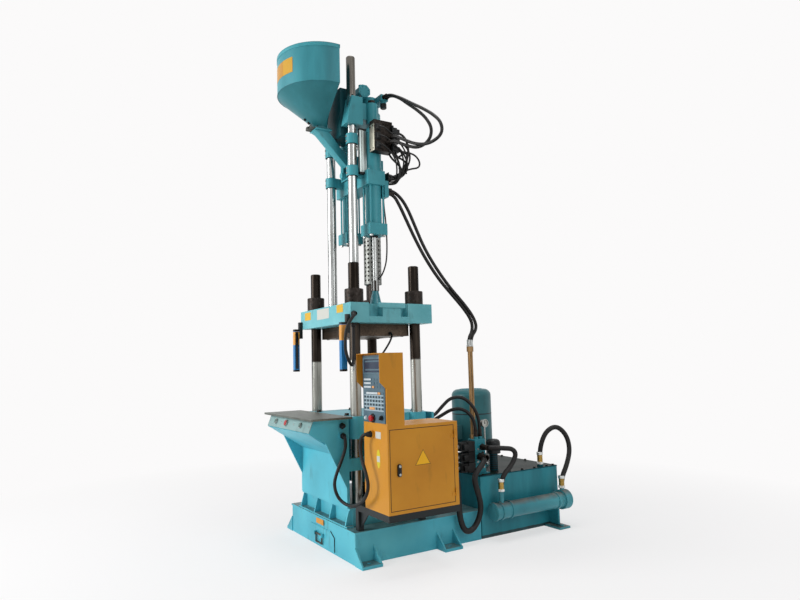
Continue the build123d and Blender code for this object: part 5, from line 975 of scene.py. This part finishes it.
# Hopper: rolled rim, seam bead, plain fields, screws and plugs
def drum_strip(shape, radius, low_z, high_z, thick, start, end, steps):
    """A strip on the hopper drum, from one angle to another about the drum's axis, measured from its front."""
    centre = Vector((0, HOPPER_Y, 0))
    turning = Matrix.Rotation(math.radians(start), 4, "Z")
    first, outer = (turning @ Vector((0, -reach, 0)) + centre for reach in (radius, radius + thick))
    corners = ((first, low_z), (outer, low_z), (outer, high_z), (first, high_z))
    face = shape.faces.new([shape.verts.new((p.x, p.y, z)) for p, z in corners])
    bmesh.ops.spin(shape, geom=[face], cent=centre, axis=UP, angle=math.radians(end - start), steps=steps)


assembled(
    "hopper_rim", CARRIAGE, upper_shaded_enamel,
    (drum_strip, 0.3298, 3.64, 3.6645, 0.003, -90, 90, 40), (box, (-0.333, -0.3352, 3.64), (0.333, -0.332, 3.6645)),
)
# The hopper's sticker in two tones of one yellow: the gold over most of it darker as painted shade, the amber over its
# right end paler
for name, material, *strip in (
    ("hopper_seam_bead", hopper_painted_shade_enamel, 0.329, 3.372, 3.378, 0.0025, -90, 90, 40),
    ("hopper_field", gold_film_painted_shade, 0.3302, 3.462, 3.578, 0.0006, -26, 28, 20),
    ("hopper_field_light", amber_film, 0.3309, 3.462, 3.578, 0.0005, 10, 28, 8),
):
    assembled(name, CARRIAGE, material, (drum_strip, *strip))
spout_spots = every((-0.052, 0.052), (HOPPER_Y - 0.052, HOPPER_Y + 0.052), (3.1225,))
assembled("spout_screws", CARRIAGE, oxide_steel, (socket_screws, spout_spots, UP, 0.012, 0.007))
shape = bmesh.new()
for high in (3.172, 3.196):
    reach = 0.052 + (high - 3.1383) / 0.2367 * 0.278
    way = Vector((-0.24, -1, 0)).normalized()
    spot = Vector((0, HOPPER_Y, high)) + way * reach * 0.997
    socket_screws(shape, [spot], (way.x * 0.65, way.y * 0.65, -0.76), 0.02, 0.012)
piece("cone_plugs", shape, CARRIAGE, black_plastic)
blocks("gate_grip", "gate", dull_and_shaded_zinc, [((-0.013, -0.464, 3.1175), (0.013, -0.45, 3.1255))], 0.002)

# Feed chute: slim sloping duct under a square flange, with a round clean-out on the throat block
chute_line = [
    (-0.411, 3.1065), (-0.411, 3.098), (-0.376, 3.08), (-0.164, 2.868), (-0.1422, 2.85),
    (-0.1422, 2.932), (-0.29, 3.1), (-0.29, 3.1065),
]
chute = bmesh.new()
slab(chute, [(-0.04, y, z) for y, z in chute_line], (0.08, 0, 0))
bmesh.ops.recalc_face_normals(chute, faces=chute.faces)
rounded(chute, [e for e in chute.edges if abs((e.verts[0].co - e.verts[1].co).normalized().x) < 0.5], 0.003)
box(chute, (-0.0655, -0.411, 3.1062), (0.0655, -0.279, 3.1118), 0.001)
turned(chute, disc_profile(0.0245, 0.034, 0.0225, 0.036), (0, -0.1422, 2.781), FRONT, 32)
chute_piece = piece("slim_feed_chute", chute, CARRIAGE, upper_shaded_enamel)
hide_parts("feed_chute")
y0, y1 = -0.146, -0.1422
blocks(
    "chute_flange", CARRIAGE, upper_shaded_enamel,
    [
        ((-0.058, y0, 2.744), (0.058, y1, 2.756)), ((-0.058, y0, 2.954), (0.058, y1, 2.966)),
        ((-0.058, y0, 2.756), (-0.0485, y1, 2.954)), ((0.0485, y0, 2.756), (0.058, y1, 2.954)),
    ],
    0.001,
)

# Thrust block: a sheet round it in deep teal, painted shade of the crosshead's front, and the nuts, screws and caps
# of the crosshead and its motor
blocks("thrust_block_shade_cover", CROSSHEAD, shade_cover_enamel, [((-0.1065, -0.2368, 3.0585), (0.1265, -0.0985, 3.4415))], 0.003)
nuts = []
for side in SIDES:
    nuts.append((prism, (side * SEAT_X, 0, 3.3202), UP, 0.052, 0.03, 6, 0.003))
    x, y = side * GUIDE_X, -0.1675
    spots = every((x - 0.043, x + 0.043), (y - 0.016, y + 0.05), (3.3452,))
    nuts.append((socket_screws, spots, UP, 0.014, 0.01))
ring = [(x, BARREL_Y + y, 3.3202) for x, y in circle(8, 0.0815, 0.39)]
assembled("crosshead_nuts", CROSSHEAD, oxide_steel, *nuts, (hex_bolts, ring, UP, 0.01, False))
port_cap = [(0, 0), (0.025, 0), (0.0256, -0.002), (0.0256, -0.034), (0.022, -0.038), (0, -0.038)]
turned_piece(
    "motor_port_caps", CROSSHEAD, black_plastic,
    (port_cap, (0.16, 0.13, 3.3662)), (ring_profile(0.0, 0.047, 0, 0.003), (0, BARREL_Y, 3.4552)),
)
cap_spots = [(0.11, -0.01 + dy, 3.468 + dz) for dy, dz in circle(8, 0.037, 0.39)]
assembled("motor_cap_screws", CROSSHEAD, upper_shaded_enamel, (socket_screws, cap_spots, RIGHT, 0.01, 0.004))

# Injection manifold: pale cover plate, stacked valves, coils and screws
blocks("manifold_cover_plate", CARRIAGE, cover_plate, [((0.268, -0.0628, 2.905), (0.338, -0.0598, 3.113))], 0.001)
valve_blocks, coils = [], []
for z in (2.922, 2.992, 3.062):
    valve_blocks.append(((0.3375, 0.086, z), (0.364, 0.0985, z + 0.052)))
    valve_blocks.append(((0.3375, -0.05, z), (0.344, -0.004, z + 0.052)))
    valve_blocks.append(((0.274, 0.0985, z), (0.332, 0.148, z + 0.052)))
for z in (2.926, 2.996, 3.066):
    coils.append(((0.3435, -0.046, z), (0.356, -0.01, z + 0.042)))
    coils.append(((0.279, 0.1475, z), (0.327, 0.176, z + 0.042)))
blocks("injection_valves", CARRIAGE, black_paint, valve_blocks, 0.003)
blocks("injection_coils", CARRIAGE, black_plastic, coils, 0.006)
assembled(
    "manifold_screws", CARRIAGE, oxide_steel,
    (socket_screws, [(0.3378, 0.02 + k * 0.022, 3.12) for k in range(4)], RIGHT, 0.012, 0.005),
    (socket_screws, every((0.28, 0.326), (-0.0627,), (2.922, 3.096)), FRONT, 0.01, 0.004),
)


def cable_run(shape, width, points):
    """Adds a clipped cable, which keeps its shape, along a smooth curve."""
    made = spline("run", points, width)
    mesh = bpy.data.meshes.new_from_object(made)
    shape.from_mesh(mesh)
    bpy.data.meshes.remove(mesh)
    bpy.data.objects.remove(made)


# Valve loom: cables strapped to one another between the coils and the carriage plate
loom = []
for width, *route in (
    (0.012,
     (350, -30, 3090), (384, -10, 3085), (384, 60, 3040), (368, 150, 2985), (350, 222, 2905), (344, 222, 2830),
     (300, 190, 2760), (255, 140, 2735), (255, 94, 2735)),
    (0.012,
     (350, -30, 3020), (380, -5, 3015), (380, 70, 2975), (362, 150, 2930), (345, 196, 2860), (338, 186, 2790),
     (290, 160, 2705), (240, 130, 2705), (240, 94, 2705)),
    (0.012,
     (350, -30, 2950), (378, -10, 2945), (376, 60, 2900), (358, 110, 2850), (345, 130, 2790), (300, 150, 2725),
     (228, 140, 2720), (228, 94, 2720)),
    (0.014,
     (303, 170, 3018), (306, 215, 3010), (318, 262, 2950), (330, 262, 2880), (330, 225, 2800), (300, 190, 2745),
     (243, 150, 2752), (243, 94, 2752)),
    (0.014,
     (303, 170, 2948), (308, 205, 2940), (322, 300, 2935), (338, 345, 2880), (345, 335, 2820), (340, 250, 2800),
     (310, 195, 2775), (226, 150, 2748), (226, 94, 2748)),
    (0.018,
     (320, 90, 2925), (345, 110, 2900), (352, 140, 2840), (345, 160, 2770), (300, 160, 2690), (232, 140, 2690),
     (232, 94, 2690)),
    (0.018,
     (300, 175, 3085), (305, 215, 3080), (330, 240, 3010), (345, 238, 2930), (348, 215, 2850), (320, 185, 2740),
     (256, 150, 2682), (256, 94, 2682)),
    (0.016,
     (290, 90, 2915), (300, 105, 2880), (330, 125, 2840), (335, 175, 2800), (300, 190, 2765), (262, 160, 2720),
     (262, 94, 2720)),
    (0.016,
     (305, 140, 2925), (310, 150, 2890), (335, 180, 2870), (350, 215, 2840), (330, 235, 2790), (280, 200, 2745),
     (248, 150, 2720), (248, 94, 2720)),
    (0.014,
     (330, 100, 2960), (372, 120, 2950), (382, 170, 2900), (366, 215, 2830), (330, 220, 2765), (270, 180, 2725),
     (236, 140, 2765), (236, 94, 2765)),
):
    loom.append((cable_run, width, in_metres(*route)))
assembled("valve_loom", CARRIAGE, hose_rubber, *loom)
strap = ring_profile(0.037, 0.04, -0.004, 0.004, 0.0006)
assembled(
    "loom_straps", CARRIAGE, black_plastic,
    (turned, strap, (0.352, 0.178, 2.9), Vector((0.1, 0.5, -0.85)).normalized()),
    (turned, strap, (0.33, 0.19, 2.78), Vector((0.6, 0.3, 0.7)).normalized()),
    (box, (0.217, 0.0945, 2.674), (0.272, 0.101, 2.772), 0.002),
)

# Position sensor: profile, end caps, grooves and bracket
blocks("sensor_profile", CARRIAGE, brushed_aluminium, [((0.1985, -0.1268, 2.76), (0.2262, -0.067, 3.086))], 0.001)
sensor_caps = [((0.198, -0.1275, z), (0.227, -0.0665, z + 0.014)) for z in (2.744, 3.088)]
blocks("sensor_caps", CARRIAGE, black_plastic, sensor_caps)
blocks(
    "sensor_grooves", CARRIAGE, black_plastic,
    [((0.21, -0.1272, 2.76), (0.2135, -0.1266, 3.086))]
    + [((0.226, y, 2.76), (0.2266, y + 0.004, 3.086)) for y in (-0.112, -0.086)], 0,
)
blocks(
    "sensor_bracket", CARRIAGE, zinc_steel,
    [((0.1985, -0.148, 2.938), (0.2015, -0.118, 3.036)), ((0.1985, -0.129, 2.938), (0.213, -0.1262, 3.036))], 0.0008,
)
bracket_spots = every((0.2014,), (-0.139,), (2.957, 3.017))
assembled("sensor_bracket_screws", CARRIAGE, oxide_steel, (socket_screws, bracket_spots, RIGHT, 0.01, 0.004))


# Floor, light and camera
def seen_directly(tree):
    """One for camera, mirror and glass rays, zero for the light that falls on the machine."""
    paths = tree.nodes.new("ShaderNodeLightPath").outputs
    sight = add(tree, "Math", {0: paths["Is Camera Ray"], 1: paths["Is Glossy Ray"]}, operation="MAXIMUM")
    return add(tree, "Math", {0: sight, 1: paths["Is Transmission Ray"]}, operation="MAXIMUM")


BACKDROP = "#fbfafa"
floor_mesh = bmesh.new()
bmesh.ops.create_grid(floor_mesh, x_segments=1, y_segments=1, size=40)
floor_data = bpy.data.meshes.new("studio_floor")
floor_mesh.to_mesh(floor_data)
floor_mesh.free()
floor = bpy.data.objects.new("studio_floor", floor_data)
scene.collection.objects.link(floor)
# White sweep: matt white near the object, where it takes the shadow, and as white as the backdrop further off
floor_finish, tree, shader, place = finish("pale_studio_floor", BACKDROP, 0.9, Specular_IOR_Level=0.0)
floor_data.materials.append(floor_finish)
glow = add(tree, "Emission", {"Color": linear(BACKDROP), "Strength": 1.0})
away = add(tree, "VectorMath", {0: place}, out=1, operation="LENGTH")
away = add(tree, "MapRange", {"Value": away, "From Min": 1.4, "From Max": 4.5, "To Min": 0.62})
share = add(tree, "Math", {0: seen_directly(tree), 1: away}, operation="MULTIPLY")
both = add(tree, "MixShader", {0: share, 1: shader.outputs[0], 2: glow})
tree.links.new(both, tree.nodes["Material Output"].inputs["Surface"])

world = bpy.data.worlds.new("studio")
scene.world = world
world.use_nodes = True
tree = world.node_tree
sky = tree.nodes["Background"]
sky.inputs["Color"].default_value = linear("#eef2f6")
sky.inputs["Strength"].default_value = 0.34
white = add(tree, "Background", {"Color": linear(BACKDROP), "Strength": 1.0})
both = add(tree, "MixShader", {0: seen_directly(tree), 1: sky.outputs[0], 2: white})
tree.links.new(both, tree.nodes["World Output"].inputs["Surface"])

for name, spot, aim, size, power in (
    ("front_softbox", (-1.5, -7.0, 3.6), (0, 0, 1.5), 4.0, 390),
    ("right_softbox", (7.5, 1.0, 4.5), (0, 0.4, 1.6), 3.5, 100),
    ("top_softbox", (0.5, 0.5, 8.0), (0, 0.3, 1.5), 4.0, 170),
):
    lamp = bpy.data.lights.new(name, "AREA")
    lamp.shape = "DISK"
    lamp.size = size
    lamp.energy = power
    made = bpy.data.objects.new(name, lamp)
    made.location = spot
    made.rotation_mode = "QUATERNION"
    made.rotation_quaternion = (Vector(aim) - Vector(spot)).to_track_quat("-Z", "Y")
    scene.collection.objects.link(made)

# The camera that was fitted to the photograph
camera_data = bpy.data.cameras.new("camera")
camera_data.sensor_width = 36
camera_data.lens = 27.8735
camera_data.clip_end = 200
camera = bpy.data.objects.new("camera", camera_data)
right = Vector((0.52203522, 0.85253789, -0.02565874))
up = Vector((0.10035448, -0.03152022, 0.99445234))
turning = Matrix((right, up, right.cross(up))).transposed().to_4x4()
camera.matrix_world = Matrix.Translation((4.26728, -2.29054, 1.30172)) @ turning
scene.collection.objects.link(camera)
scene.camera = camera
scene.view_settings.view_transform = "Standard"
